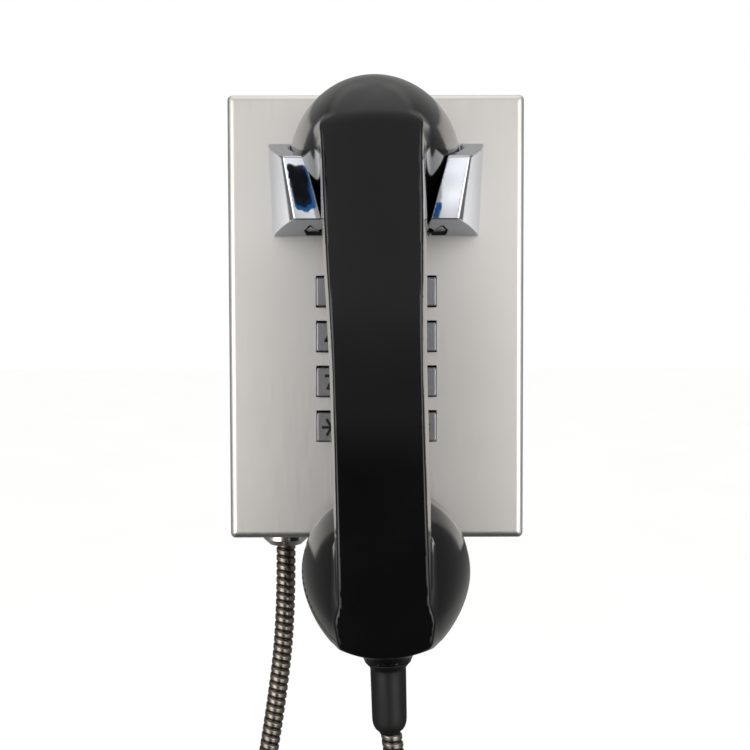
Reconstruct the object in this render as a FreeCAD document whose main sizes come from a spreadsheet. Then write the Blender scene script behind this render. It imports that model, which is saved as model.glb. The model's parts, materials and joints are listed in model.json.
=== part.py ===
"""Wall telephone with a steel housing, cast cradle, metal keypad, handset and armoured cord.

Millimetres and degrees. The origin is the centre of the rear face of the back plate,
+Z is up and the telephone faces -Y, so a depth of d stands at y = -d.
The sheet "Dimensions" holds the driving sizes, and every formula below names its cells.
"""
import FreeCAD, Part
import Sketcher
import math
import os
import re

Vector = FreeCAD.Vector
Rotation = FreeCAD.Rotation

DIMENSIONS = {
    # housing
    "housing_width": 120.0,
    "housing_height": 180.0,
    "housing_depth": 50.0,
    "sheet_gauge": 1.5,
    "front_edge_radius": 3.0,
    "corner_radius": 2.0,
    "back_gauge": 2.0,
    "gasket_gauge": 1.5,
    "gasket_band": 4.0,
    "wall_hole_radius": 2.75,
    "wall_hole_span_x": 80.0,
    "wall_hole_span_z": 140.0,
    "line_hole_radius": 7.0,
    "line_bore_radius": 4.0,
    "line_entry_z": 48.0,
    "grommet_lip": 1.6,
    # fixing of the cover to the back plate
    "tab_width": 14.0,
    "tab_reach": 14.0,
    "tab_gauge": 2.0,
    "tab_z": 62.0,
    "tab_gap": 0.3,
    "cover_screw_depth": 11.0,
    "cover_screw_radius": 2.0,
    "cover_screw_head": 3.6,
    "cover_head_gauge": 1.8,
    "cover_screw_spare": 5.0,
    "cover_nut_radius": 4.0,
    "cover_nut_gauge": 3.2,
    # keypad
    "key_pitch": 18.2,
    "key_width": 11.7,
    "key_height": 11.6,
    "key_proud": 3.0,
    "key_gap": 0.4,
    "key_gap_top": 0.8,
    "key_corner": 0.8,
    "key_bevel": 0.35,
    "key_flange": 14.4,
    "key_flange_gauge": 1.0,
    "key_float": 0.3,
    "key_plunger_radius": 2.0,
    "key_plunger_length": 2.0,
    "keypad_z": -16.8,
    "clamp_window_x": 18.0,
    "clamp_window_z": 22.0,
    "keypad_nut_radius": 3.1,
    "keypad_nut_gauge": 2.4,
    "frame_inner_x": 26.2,
    "frame_inner_z": 35.4,
    "frame_outer_x": 29.5,
    "frame_outer_z": 38.1,
    "frame_gauge": 5.8,
    "mat_gauge": 0.8,
    "mat_cup_height": 1.9,
    "mat_cup_radius": 3.6,
    "board_gauge": 1.6,
    "clamp_gauge": 1.5,
    "stud_radius": 1.5,
    "stud_length": 12.9,
    "stud_x": 33.2,
    "stud_z": 30.0,
    "lug_size": 7.0,
    # cradle
    "cradle_base_half": 41.6,
    "cradle_front_half": 30.0,
    "cradle_draft": 1.9,
    "cradle_side_radius": 235.0,
    "cradle_depth": 39.5,
    "cradle_bottom": 33.0,
    "cradle_top": 70.0,
    "cradle_front_top": 58.0,
    "cradle_front_bottom": 34.7,
    "cradle_floor": 2.5,
    "cradle_mouth_low": 18.6,
    "cradle_mouth_high": 29.3,
    "pocket_radius": 33.6,
    "notch_inner": 22.0,
    "notch_outer": 27.8,
    "notch_reach": 27.0,
    "notch_shoulder": 14.0,
    "notch_top": 50.0,
    "slot_top": 45.0,
    "cradle_screw_x": 37.4,
    "cradle_screw_low": 40.0,
    "cradle_screw_high": 61.0,
    "cradle_screw_bite": 9.0,
    "cradle_head_radius": 2.8,
    "cradle_head_gauge": 2.4,
    # hook lever
    "pivot_depth": 34.0,
    "pivot_z": 36.5,
    "pivot_radius": 1.5,
    "pivot_play": 0.05,
    "hub_radius": 3.2,
    "hub_half": 30.0,
    "prong_inner": 22.6,
    "prong_outer": 27.2,
    "prong_reach": 22.0,
    "prong_shoulder": 12.0,
    "prong_bottom": 34.2,
    "prong_top": 39.0,
    "tail_half": 3.0,
    "tail_length": 13.5,
    "tail_gauge": 3.0,
    "bracket_half": 34.0,
    "bracket_gauge": 1.5,
    "bracket_low": 20.0,
    "bracket_high": 46.0,
    "bracket_back": 27.0,
    "bracket_wing_below": 6.0,
    "bracket_wing_above": 5.0,
    "pin_head_gauge": 1.5,
    "pin_head_rim": 1.1,
    "bracket_wing": 42.0,
    "spring_wire": 1.0,
    "spring_start": 8.0,
    "spring_gap": 0.4,
    "switch_half": 6.0,
    "switch_height": 10.0,
    "switch_clearance": 1.2,
    "switch_button_radius": 1.2,
    # main board on the back plate
    "main_board_half": 33.0,
    "main_board_low": -62.0,
    "main_board_high": 22.0,
    "standoff_length": 10.0,
    "board_screw_reach": 6.0,
    "board_head_radius": 2.7,
    "board_head_gauge": 2.0,
    "core_left": -26.0,
    "core_low": -46.0,
    "core_width": 22.0,
    "core_depth": 15.0,
    "core_height": 18.0,
    "winding_inset": 3.0,
    "winding_over": 4.0,
    "winding_rise": 2.0,
    "ringer_x": 16.0,
    "ringer_z": 2.0,
    "ringer_radius": 11.0,
    "ringer_depth": 8.0,
    "ringer_port": 1.5,
    "block_left": -22.0,
    "block_low": 10.0,
    "block_width": 25.0,
    "block_depth": 11.0,
    "block_height": 9.0,
    "well_inset": 3.1,
    "well_pitch": 6.25,
    "well_radius": 1.9,
    "can_x": 2.0,
    "can_z": -22.0,
    "can_pitch": 10.0,
    "can_radius": 4.0,
    "can_depth": 12.0,
    "chip_left": 4.0,
    "chip_low": -48.0,
    "chip_width": 20.0,
    "chip_depth": 4.0,
    "chip_height": 8.0,
    "standoff_radius": 3.0,
    "standoff_x": 28.0,
    "standoff_low": -56.0,
    "standoff_high": 16.0,
    # cable gland
    "gland_x": -38.8,
    "gland_depth": 32.0,
    "gland_flange_radius": 9.6,
    "gland_flange_height": 5.5,
    "gland_body_radius": 6.0,
    "gland_body_height": 16.0,
    "gland_flange_gauge": 3.0,
    "gland_skirt_draw": 2.6,
    "washer_gauge": 1.0,
    "gland_nut_radius": 9.8,
    "gland_nut_gauge": 4.0,
    "ferrule_radius": 4.0,
    "ferrule_length": 9.0,
    "gland_bore_radius": 2.5,
    "cord_diameter": 8.0,
    # handset, in its own frame with the ear centre as origin
    "ear_x": -0.4,
    "ear_depth": 14.0,
    "ear_z": 59.9,
    "lean": 1.4,
    "turn": 1.5,
    "ear_radius": 33.0,
    "mouth_radius": 32.5,
    "mouth_drop": 159.6,
    "mouth_out": 2.5,
    "mouth_tilt": 7.0,
    "cup_wall": 3.0,
    "dome_inset": 0.9,
    "cup_rim": 7.0,
    "cap_gauge": 3.4,
    "cap_spigot": 3.0,
    "gasket_radius": 28.5,
    "gasket_gauge": 1.5,
    "gasket_window": 17.0,
    "receiver_radius": 22.0,
    "receiver_depth": 8.0,
    "magnet_radius": 12.0,
    "magnet_depth": 6.0,
    "baffle_radius": 27.5,
    "baffle_gauge": 2.0,
    "microphone_radius": 20.0,
    "microphone_flange": 1.5,
    "microphone_can": 12.0,
    "microphone_depth": 8.0,
    "bar_half_front": 15.0,
    "bar_half_back": 17.8,
    "bar_out_top": 50.5,
    "bar_out_mid": 52.2,
    "bar_out_low": 48.0,
    "bar_in": 25.0,
    "bar_in_mid": 27.0,
    "bar_end_top": 5.2,
    "bar_end_low": 177.7,
    "bar_end_round_top": 57.8,
    "bar_end_round_low": 34.4,
    "bar_end_slope": 0.33,
    "boot_out": 8.0,
    "boot_top": 192.3,
    "boot_length": 28.4,
    "boot_flare": 9.0,
    "boot_radius": 6.9,
    "boot_tip_radius": 4.7,
    "boot_flare_height": 3.4,
    "boot_nose_height": 4.0,
    "boot_spigot_radius": 4.0,
    "boot_spigot_length": 9.0,
    "clamp_plate_width": 18.0,
    "clamp_plate_depth": 10.0,
    "clamp_plate_gauge": 3.0,
}

# Centre line of the armoured cord, from the gland to the boot.
CORD_ROUTE = [
    (-38.8, -32.0, -95.5),
    (-38.8, -32.0, -127.0),
    (-43.0, -33.5, -164.0),
    (-51.0, -36.0, -211.0),
    (-61.0, -39.0, -260.0),
    (-68.5, -42.0, -302.0),
    (-68.0, -44.5, -335.0),
    (-54.5, -47.0, -361.0),
    (-29.0, -50.0, -376.0),
    (1.0, -53.5, -373.5),
    (25.0, -57.0, -355.0),
    (36.5, -60.5, -326.0),
    (35.0, -64.5, -289.0),
    (25.0, -68.0, -247.0),
    (10.5, -71.0, -203.0),
    (5.0, -72.0, -162.0),
]

KEY_NAMES = [
    ("key_1", "key_2", "key_3"),
    ("key_4", "key_5", "key_6"),
    ("key_7", "key_8", "key_9"),
    ("key_star", "key_0", "key_hash"),
]

doc = FreeCAD.newDocument("wall_telephone")
nodes = []


# ---------------------------------------------------------------- the sheet and formulas

def make_sheet():
    """The spreadsheet with one named cell for each driving dimension."""
    sheet = doc.addObject("Spreadsheet::Sheet", "Dimensions")
    for row, (name, number) in enumerate(DIMENSIONS.items(), start=1):
        sheet.set(f"A{row}", name)
        sheet.set(f"B{row}", str(number))
        sheet.setAlias(f"B{row}", name)
    doc.recompute()


def formula(text):
    """A formula in plain dimension names, as one that points at the sheet's cells."""
    def point_at_cell(match):
        word = match.group()
        return f"Dimensions.{word}" if word in DIMENSIONS else word
    return re.sub(r"[A-Za-z_]+", point_at_cell, str(text))


def bind(item, **formulas):
    """Bind properties of an object to formulas."""
    for name, text in formulas.items():
        item.setExpression(name, formula(text))


def place(item, x, y, z):
    """Bind the base of an object's placement to three formulas."""
    for axis, text in zip("xyz", (x, y, z)):
        item.setExpression(f"Placement.Base.{axis}", formula(text))


def size(name):
    """The number in a cell of the sheet."""
    return float(doc.Dimensions.get(name))


def keep(item, label):
    """Mark an object as a finished piece, which becomes a file of its own."""
    item.Label = label
    nodes.append(item)
    return item


# ---------------------------------------------------------------- primitives and booleans

TOWARDS = {
    "X": Rotation(Vector(0, 1, 0), 90),
    "Y": Rotation(Vector(1, 0, 0), -90),
    "Z": Rotation(),
}


def box(name, x, y, z, length, width, height):
    """A box from its lowest corner."""
    item = doc.addObject("Part::Box", name)
    bind(item, Length=length, Width=width, Height=height)
    place(item, x, y, z)
    return item


def cylinder(name, axis, x, y, z, radius, length):
    """A cylinder that runs from a centre point in the positive direction of an axis."""
    item = doc.addObject("Part::Cylinder", name)
    bind(item, Radius=radius, Height=length)
    item.Placement = FreeCAD.Placement(Vector(), TOWARDS[axis])
    place(item, x, y, z)
    return item


def cone(name, axis, x, y, z, radius, far_radius, length):
    """A cone that runs from a centre point in the positive direction of an axis."""
    item = doc.addObject("Part::Cone", name)
    bind(item, Radius1=radius, Radius2=far_radius, Height=length)
    item.Placement = FreeCAD.Placement(Vector(), TOWARDS[axis])
    place(item, x, y, z)
    return item


def hexagon(name, axis, x, y, z, across_corners, length):
    """A hexagonal prism that runs in the positive direction of an axis."""
    item = doc.addObject("Part::Prism", name)
    item.Polygon = 6
    bind(item, Circumradius=across_corners, Height=length)
    item.Placement = FreeCAD.Placement(Vector(), TOWARDS[axis])
    place(item, x, y, z)
    return item


def sphere(name, x, y, z, radius):
    """A full ball."""
    item = doc.addObject("Part::Sphere", name)
    bind(item, Radius=radius)
    place(item, x, y, z)
    return item


def fuse(name, *pieces):
    """One solid of several that touch or overlap."""
    item = doc.addObject("Part::MultiFuse", name)
    item.Shapes = list(pieces)
    return item


def cut(name, base, *tools):
    """The base less every tool."""
    item = doc.addObject("Part::Cut", name)
    item.Base = base
    item.Tool = tools[0] if len(tools) == 1 else fuse(name + "_tools", *tools)
    return item


def common(name, first, second):
    """What two solids share."""
    item = doc.addObject("Part::Common", name)
    item.Base = first
    item.Tool = second
    return item


def group(name, pieces):
    """Separate solids that are kept in one file."""
    item = doc.addObject("Part::Compound", name)
    item.Links = list(pieces)
    return item


# ---------------------------------------------------------------- bodies and sketches

def new_body(name):
    return doc.addObject("PartDesign::Body", name)


def sketch_on(body, role, offset="0"):
    """A sketch on one of the body's own origin planes, moved along its normal."""
    sketch = body.newObject("Sketcher::SketchObject", body.Name + "_sketch")
    plane = next(item for item in body.Origin.OriginFeatures if item.Role == role)
    sketch.AttachmentSupport = [(plane, "")]
    sketch.MapMode = "FlatFace"
    sketch.setExpression("AttachmentOffset.Base.z", formula(offset))
    return sketch


def fix(sketch, kind, picks, text, start=1.0):
    """Add one dimension to a sketch and bind it to a formula."""
    index = sketch.addConstraint(Sketcher.Constraint(kind, *picks, start))
    sketch.setExpression(f"Constraints[{index}]", formula(text))


def rectangle(sketch, left, bottom, width, height):
    """A rectangle from its lower left corner."""
    first = sketch.GeometryCount
    corners = [Vector(0, 0), Vector(10, 0), Vector(10, 10), Vector(0, 10)]
    for index in range(4):
        side = Part.LineSegment(corners[index], corners[(index + 1) % 4])
        sketch.addGeometry(side, False)
    for index in range(4):
        following = first + (index + 1) % 4
        sketch.addConstraint(Sketcher.Constraint("Coincident", first + index, 2, following, 1))
        direction = "Vertical" if index % 2 else "Horizontal"
        sketch.addConstraint(Sketcher.Constraint(direction, first + index))
    fix(sketch, "DistanceX", (first, 1, first, 2), width)
    fix(sketch, "DistanceY", (first + 1, 1, first + 1, 2), height)
    fix(sketch, "DistanceX", (-1, 1, first, 1), left)
    fix(sketch, "DistanceY", (-1, 1, first, 1), bottom)


def circle(sketch, across, up, radius):
    """A circle about a point."""
    index = sketch.addGeometry(Part.Circle(Vector(1, 1), Vector(0, 0, 1), 1.0), False)
    fix(sketch, "DistanceX", (-1, 1, index, 3), across)
    fix(sketch, "DistanceY", (-1, 1, index, 3), up)
    fix(sketch, "Radius", (index,), radius)


def polygon(sketch, starts, formulas):
    """A closed run of straight sides, with a formula for each coordinate of each corner."""
    first = sketch.GeometryCount
    count = len(starts)
    for index in range(count):
        side = Part.LineSegment(Vector(*starts[index]), Vector(*starts[(index + 1) % count]))
        sketch.addGeometry(side, False)
    for index in range(count):
        following = first + (index + 1) % count
        sketch.addConstraint(Sketcher.Constraint("Coincident", first + index, 2, following, 1))
    for index, (across, up) in enumerate(formulas):
        fix(sketch, "DistanceX", (-1, 1, first + index, 1), across, starts[index][0])
        fix(sketch, "DistanceY", (-1, 1, first + index, 1), up, starts[index][1])


def pad(body, sketch, length, both_ways=False):
    item = body.newObject("PartDesign::Pad", body.Name + "_pad")
    item.Profile = sketch
    item.Midplane = both_ways
    bind(item, Length=length)
    return item


def pocket(body, sketch, length=None, both_ways=False, reverse=True):
    """Cut to a depth along the sketch's normal, or through everything both ways."""
    item = body.newObject("PartDesign::Pocket", body.Name + "_pocket")
    item.Profile = sketch
    item.Reversed = reverse
    if length is None:
        item.Type = "ThroughAll"
        item.Midplane = True
    else:
        item.Midplane = both_ways
        bind(item, Length=length)
    return item


def round_edges(body, base, radius, wanted, kind="PartDesign::Fillet"):
    """Round or bevel the edges of a body's last feature that pass a test."""
    doc.recompute()
    names = [f"Edge{index}" for index, edge in enumerate(base.Shape.Edges, start=1) if wanted(edge)]
    item = body.newObject(kind, body.Name + "_edges")
    item.Base = (base, names)
    bind(item, **{"Radius" if kind.endswith("Fillet") else "Size": radius})
    return item


def runs_along_y(edge):
    """True for a straight edge square to the wall."""
    box_of_edge = edge.BoundBox
    return box_of_edge.YLength > 0.5 and box_of_edge.XLength < 0.01 and box_of_edge.ZLength < 0.01


# ---------------------------------------------------------------- housing

def corner_signs():
    return [(side, level) for side in (-1, 1) for level in (-1, 1)]


def make_back_plate():
    """Wall plate with four bolt holes, a line entry and four bent tabs for the cover screws."""
    body = new_body("back_plate")
    outline = sketch_on(body, "XZ_Plane")
    rectangle(outline, "-housing_width / 2", "-housing_height / 2", "housing_width", "housing_height")
    blank = pad(body, outline, "back_gauge")
    round_edges(body, blank, "corner_radius", runs_along_y)
    tabs = sketch_on(body, "XZ_Plane", "back_gauge")
    reach = "housing_width / 2 - sheet_gauge - tab_gap"
    for side, level in corner_signs():
        left = f"-({reach})" if side < 0 else f"{reach} - tab_gauge"
        rectangle(tabs, left, f"{level} * tab_z - tab_width / 2", "tab_gauge", "tab_width")
    pad(body, tabs, "tab_reach - back_gauge")
    holes = sketch_on(body, "XZ_Plane")
    for side, level in corner_signs():
        across = f"{side} * wall_hole_span_x / 2"
        circle(holes, across, f"{level} * wall_hole_span_z / 2", "wall_hole_radius")
    circle(holes, "0", "line_entry_z", "line_hole_radius")
    pocket(body, holes)
    screw_holes = sketch_on(body, "YZ_Plane")
    for level in (-1, 1):
        circle(screw_holes, "-cover_screw_depth", f"{level} * tab_z", "cover_screw_radius + 0.2")
    pocket(body, screw_holes)
    return keep(body, "back_plate")


def make_housing_gasket():
    """Rubber seal between the back plate and the cover's rim."""
    body = new_body("housing_gasket")
    ring = sketch_on(body, "XZ_Plane", "back_gauge")
    rectangle(ring, "-housing_width / 2", "-housing_height / 2", "housing_width", "housing_height")
    blank = pad(body, ring, "gasket_gauge")
    round_edges(body, blank, "corner_radius", runs_along_y)
    window = sketch_on(body, "XZ_Plane", "back_gauge")
    rectangle(window, "gasket_band - housing_width / 2", "gasket_band - housing_height / 2",
              "housing_width - 2 * gasket_band", "housing_height - 2 * gasket_band")
    pocket(body, window)
    notches = sketch_on(body, "XZ_Plane", "back_gauge")
    for level in (-1, 1):
        rectangle(notches, "sheet_gauge - housing_width / 2", f"{level} * tab_z - tab_width / 2 - 0.5",
                  "housing_width - 2 * sheet_gauge", "tab_width + 1")
    pocket(body, notches)
    return keep(body, "housing_gasket")


def make_front_cover():
    """Folded steel cover with holes for the keys, the cradle, the gland and the side screws."""
    body = new_body("front_cover")
    rear = "back_gauge + gasket_gauge"
    outline = sketch_on(body, "XZ_Plane", rear)
    rectangle(outline, "-housing_width / 2", "-housing_height / 2", "housing_width", "housing_height")
    blank = pad(body, outline, f"housing_depth - ({rear})")
    corners = round_edges(body, blank, "corner_radius", runs_along_y)

    def on_front(edge):
        return edge.BoundBox.YMax < 0.01 - size("housing_depth")

    round_edges(body, corners, "front_edge_radius", on_front)
    hollow = sketch_on(body, "XZ_Plane", rear)
    rectangle(hollow, "sheet_gauge - housing_width / 2", "sheet_gauge - housing_height / 2",
              "housing_width - 2 * sheet_gauge", "housing_height - 2 * sheet_gauge")
    pocket(body, hollow, f"housing_depth - ({rear}) - sheet_gauge")
    studs = sketch_on(body, "XZ_Plane", "housing_depth - sheet_gauge - stud_length")
    for side, level in corner_signs():
        circle(studs, f"{side} * stud_x", f"keypad_z + {level} * stud_z", "stud_radius")
    pad(body, studs, "stud_length + sheet_gauge / 2")
    openings = sketch_on(body, "XZ_Plane", "housing_depth - sheet_gauge / 2")
    for row in range(4):
        for column in range(3):
            left = f"{column - 1} * key_pitch - key_width / 2 - key_gap"
            bottom = f"keypad_z + {1.5 - row} * key_pitch - key_height / 2 - key_gap"
            rectangle(openings, left, bottom, "key_width + 2 * key_gap",
                      "key_height + key_gap + key_gap_top")
    for side in (-1, 1):
        left = "notch_inner" if side > 0 else "-notch_outer"
        rectangle(openings, left, "cradle_bottom + 0.9", "notch_outer - notch_inner",
                  "slot_top - cradle_bottom - 0.9")
        for level in ("cradle_screw_low", "cradle_screw_high"):
            circle(openings, f"{side} * cradle_screw_x", level, "stud_radius + 0.2")
    pocket(body, openings, "2 * sheet_gauge", both_ways=True)
    gland_hole = sketch_on(body, "XY_Plane", "sheet_gauge / 2 - housing_height / 2")
    circle(gland_hole, "gland_x", "-gland_depth", "gland_body_radius + 0.1")
    pocket(body, gland_hole, "2 * sheet_gauge", both_ways=True)
    screw_holes = sketch_on(body, "YZ_Plane")
    for level in (-1, 1):
        circle(screw_holes, "-cover_screw_depth", f"{level} * tab_z", "cover_screw_radius + 0.2")
    pocket(body, screw_holes)
    return keep(body, "front_cover")


def make_cover_fixings():
    """Four side screws and the nuts that sit behind the tabs."""
    screws = []
    nuts = []
    wall = "housing_width / 2"
    tab_face = "housing_width / 2 - sheet_gauge - tab_gap - tab_gauge"
    for number, (side, level) in enumerate(corner_signs(), start=1):
        z = f"{level} * tab_z"
        y = "-cover_screw_depth"
        head_from = wall if side > 0 else f"-({wall}) - cover_head_gauge"
        shank_from = f"{tab_face} - cover_screw_spare" if side > 0 else f"-({wall})"
        nut_from = f"{tab_face} - cover_nut_gauge" if side > 0 else f"-({tab_face})"
        head = cylinder(f"cover_screw_head_{number}", "X", head_from, y, z, "cover_screw_head",
                        "cover_head_gauge")
        shank = cylinder(f"cover_screw_shank_{number}", "X", shank_from, y, z, "cover_screw_radius",
                         f"{wall} - ({tab_face}) + cover_screw_spare")
        screws.append(fuse(f"cover_screw_{number}", head, shank))
        nut = hexagon(f"tab_nut_blank_{number}", "X", nut_from, y, z, "cover_nut_radius",
                      "cover_nut_gauge")
        bore = cylinder(f"tab_nut_bore_{number}", "X", f"{nut_from} - 1", y, z,
                        "cover_screw_radius + 0.1", "cover_nut_gauge + 2")
        nuts.append(cut(f"tab_nut_{number}", nut, bore))
    keep(group("cover_screws", screws), "cover_screws")
    keep(group("tab_nuts", nuts), "tab_nuts")


def make_line_grommet():
    """Rubber grommet that lines the hole where the telephone line comes in."""
    inner_lip = cylinder("grommet_inner_lip", "Y", "0", "-back_gauge - grommet_lip", "line_entry_z",
                         "line_hole_radius + grommet_lip", "grommet_lip")
    neck = cylinder("grommet_neck", "Y", "0", "-back_gauge", "line_entry_z",
                    "line_hole_radius - 0.05", "back_gauge")
    blank = fuse("grommet_blank", inner_lip, neck)
    bore = cylinder("grommet_bore", "Y", "0", "-back_gauge - 3", "line_entry_z", "line_bore_radius", "6")
    keep(cut("line_grommet", blank, bore), "line_grommet")


# ---------------------------------------------------------------- keypad

def make_key(name, column, row):
    """One metal key: a square button, a flange that keeps it in, and a plunger."""
    body = new_body(name)
    flange_front = "housing_depth - sheet_gauge - key_float"
    button = sketch_on(body, "XZ_Plane", flange_front)
    rectangle(button, "-key_width / 2", "-key_height / 2", "key_width", "key_height")
    blank = pad(body, button, f"housing_depth + key_proud - ({flange_front})")
    sides = round_edges(body, blank, "key_corner", runs_along_y)

    def on_front(edge):
        return edge.BoundBox.YMax < 0.01 - size("housing_depth") - size("key_proud")

    round_edges(body, sides, "key_bevel", on_front, kind="PartDesign::Chamfer")
    flange = sketch_on(body, "XZ_Plane", f"{flange_front} - key_flange_gauge")
    rectangle(flange, "-key_flange / 2", "-key_flange / 2", "key_flange", "key_flange")
    pad(body, flange, "key_flange_gauge")
    plunger = sketch_on(body, "XZ_Plane", f"{flange_front} - key_flange_gauge - key_plunger_length")
    circle(plunger, "0", "0", "key_plunger_radius")
    pad(body, plunger, "key_plunger_length")
    place(body, f"{column - 1} * key_pitch", "0", f"keypad_z + {1.5 - row} * key_pitch")
    return keep(body, name)


def lugged_plate(name, front, gauge, window=None):
    """A rectangular plate behind the cover with four lugs on its studs."""
    body = new_body(name)
    outline = sketch_on(body, "XZ_Plane", f"{front} - {gauge}")
    rectangle(outline, "-frame_outer_x", "keypad_z - frame_outer_z",
              "2 * frame_outer_x", "2 * frame_outer_z")
    pad(body, outline, gauge)
    lugs = sketch_on(body, "XZ_Plane", f"{front} - {gauge}")
    for side, level in corner_signs():
        left = "frame_outer_x - 1" if side > 0 else "-frame_outer_x - lug_size + 0.5"
        rectangle(lugs, left, f"keypad_z + {level} * stud_z - lug_size / 2", "lug_size + 0.5", "lug_size")
    pad(body, lugs, gauge)
    holes = sketch_on(body, "XZ_Plane", front)
    for side, level in corner_signs():
        circle(holes, f"{side} * stud_x", f"keypad_z + {level} * stud_z", "stud_radius + 0.2")
    if window:
        half_x, half_z = window
        rectangle(holes, f"-{half_x}", f"keypad_z - {half_z}", f"2 * {half_x}", f"2 * {half_z}")
    pocket(body, holes)
    return keep(body, name)


def make_keypad_stack():
    """Frame, silicone mat, contact board, clamp plate and nuts behind the keys."""
    inner_face = "housing_depth - sheet_gauge"
    frame_back = "housing_depth - sheet_gauge - frame_gauge"
    lugged_plate("keypad_frame", inner_face, "frame_gauge", ("frame_inner_x", "frame_inner_z"))
    lugged_plate("keypad_clamp", f"{frame_back} - board_gauge", "clamp_gauge",
                 ("clamp_window_x", "clamp_window_z"))

    mat = new_body("keypad_mat")
    sheet = sketch_on(mat, "XZ_Plane", frame_back)
    rectangle(sheet, "0.2 - frame_inner_x", "keypad_z - frame_inner_z + 0.2",
              "2 * frame_inner_x - 0.4", "2 * frame_inner_z - 0.4")
    pad(mat, sheet, "mat_gauge")
    cups = sketch_on(mat, "XZ_Plane", f"{frame_back} + mat_gauge")
    for row in range(4):
        for column in range(3):
            across = f"{column - 1} * key_pitch"
            up = f"keypad_z + {1.5 - row} * key_pitch"
            circle(cups, across, up, "mat_cup_radius")
            circle(cups, across, up, "mat_cup_radius - 1")
    pad(mat, cups, "mat_cup_height")
    keep(mat, "keypad_mat")

    keep(box("keypad_board", "-frame_outer_x", f"-({frame_back})", "keypad_z - frame_outer_z",
             "2 * frame_outer_x", "board_gauge", "2 * frame_outer_z"), "keypad_board")

    nuts = []
    nut_front = f"-({frame_back} - board_gauge - clamp_gauge)"
    for number, (side, level) in enumerate(corner_signs(), start=1):
        x = f"{side} * stud_x"
        z = f"keypad_z + {level} * stud_z"
        blank = hexagon(f"keypad_nut_blank_{number}", "Y", x, nut_front, z,
                        "keypad_nut_radius", "keypad_nut_gauge")
        bore = cylinder(f"keypad_nut_bore_{number}", "Y", x, f"{nut_front} - 1", z,
                        "stud_radius + 0.1", "keypad_nut_gauge + 2")
        nuts.append(cut(f"keypad_nut_{number}", blank, bore))
    keep(group("keypad_nuts", nuts), "keypad_nuts")


# ---------------------------------------------------------------- cradle

def arc_between(sketch, start, end, radius):
    """An arc that turns to the left from its start to its end."""
    chord = end - start
    to_centre = Vector(-chord.y, chord.x).normalize()
    rise = math.sqrt(radius ** 2 - chord.Length ** 2 / 4)
    centre = (start + end) / 2 + to_centre * rise
    angles = [math.atan2(point.y - centre.y, point.x - centre.x) for point in (start, end)]
    round_part = Part.Circle(centre, Vector(0, 0, 1), radius)
    sketch.addGeometry(Part.ArcOfCircle(round_part, angles[0], angles[1]), False)


def cradle_outline(sketch, widen, extra):
    """Plan of the casting: a straight back, two slightly bulging sides and a straight front."""
    half_back = size("cradle_base_half")
    half_front = size("cradle_front_half") + extra
    back = -size("housing_depth")
    front = back - size("cradle_depth")
    radius = size("cradle_side_radius")
    back_left, back_right = Vector(-half_back, back), Vector(half_back, back)
    front_left, front_right = Vector(-half_front, front), Vector(half_front, front)
    sketch.addGeometry(Part.LineSegment(back_left, back_right), False)
    arc_between(sketch, front_right, back_right, radius)
    sketch.addGeometry(Part.LineSegment(front_right, front_left), False)
    arc_between(sketch, back_left, front_left, radius)
    for line, line_end, arc, arc_end in ((0, 2, 1, 2), (2, 1, 1, 1), (2, 2, 3, 2), (0, 1, 3, 1)):
        sketch.addConstraint(Sketcher.Constraint("Coincident", line, line_end, arc, arc_end))
    for arc in (1, 3):
        fix(sketch, "Radius", (arc,), "cradle_side_radius", radius)
    ends = ((0, 1, -half_back, "-cradle_base_half"), (0, 2, half_back, "cradle_base_half"),
            (2, 1, half_front, f"cradle_front_half + {widen}"),
            (2, 2, -half_front, f"-cradle_front_half - {widen}"))
    for line, end, number, across in ends:
        depth = "-housing_depth" if line == 0 else "-housing_depth - cradle_depth"
        fix(sketch, "DistanceX", (-1, 1, line, end), across, number)
        fix(sketch, "DistanceY", (-1, 1, line, end), depth, back if line == 0 else front)


def make_cradle_blank():
    """The outside of the casting, with its sloping top and underside and its open mouth."""
    body = new_body("cradle_blank")
    low = sketch_on(body, "XY_Plane", "cradle_bottom")
    cradle_outline(low, "0", 0.0)
    high = sketch_on(body, "XY_Plane", "cradle_top")
    cradle_outline(high, "cradle_draft", size("cradle_draft"))
    loft = body.newObject("PartDesign::AdditiveLoft", "cradle_blank_loft")
    loft.Profile = low
    loft.Sections = [high]
    loft.Ruled = True
    doc.recompute()
    over = sketch_on(body, "YZ_Plane")
    polygon(over, [(-50, 70), (-90, 58), (-100, 80), (-50, 80)],
            [("-housing_depth", "cradle_top"),
             ("-housing_depth - cradle_depth - 0.5", "cradle_front_top"),
             ("-housing_depth - cradle_depth - 5", "cradle_top + 5"),
             ("-housing_depth", "cradle_top + 5")])
    pocket(body, over)
    under = sketch_on(body, "YZ_Plane")
    polygon(under, [(-50, 33), (-50, 28), (-95, 28), (-90, 34)],
            [("-housing_depth", "cradle_bottom"), ("-housing_depth", "cradle_bottom - 5"),
             ("-housing_depth - cradle_depth - 5", "cradle_bottom - 5"),
             ("-housing_depth - cradle_depth - 0.5", "cradle_front_bottom")])
    pocket(body, under)
    mouth = sketch_on(body, "XZ_Plane", "housing_depth + ear_depth")
    polygon(mouth, [(-18, 30), (18, 30), (29, 71), (-29, 71)],
            [("-cradle_mouth_low", "cradle_bottom - 2"), ("cradle_mouth_low", "cradle_bottom - 2"),
             ("cradle_mouth_high", "cradle_top + 1"), ("-cradle_mouth_high", "cradle_top + 1")])
    pocket(body, mouth, "cradle_depth")
    return body


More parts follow.
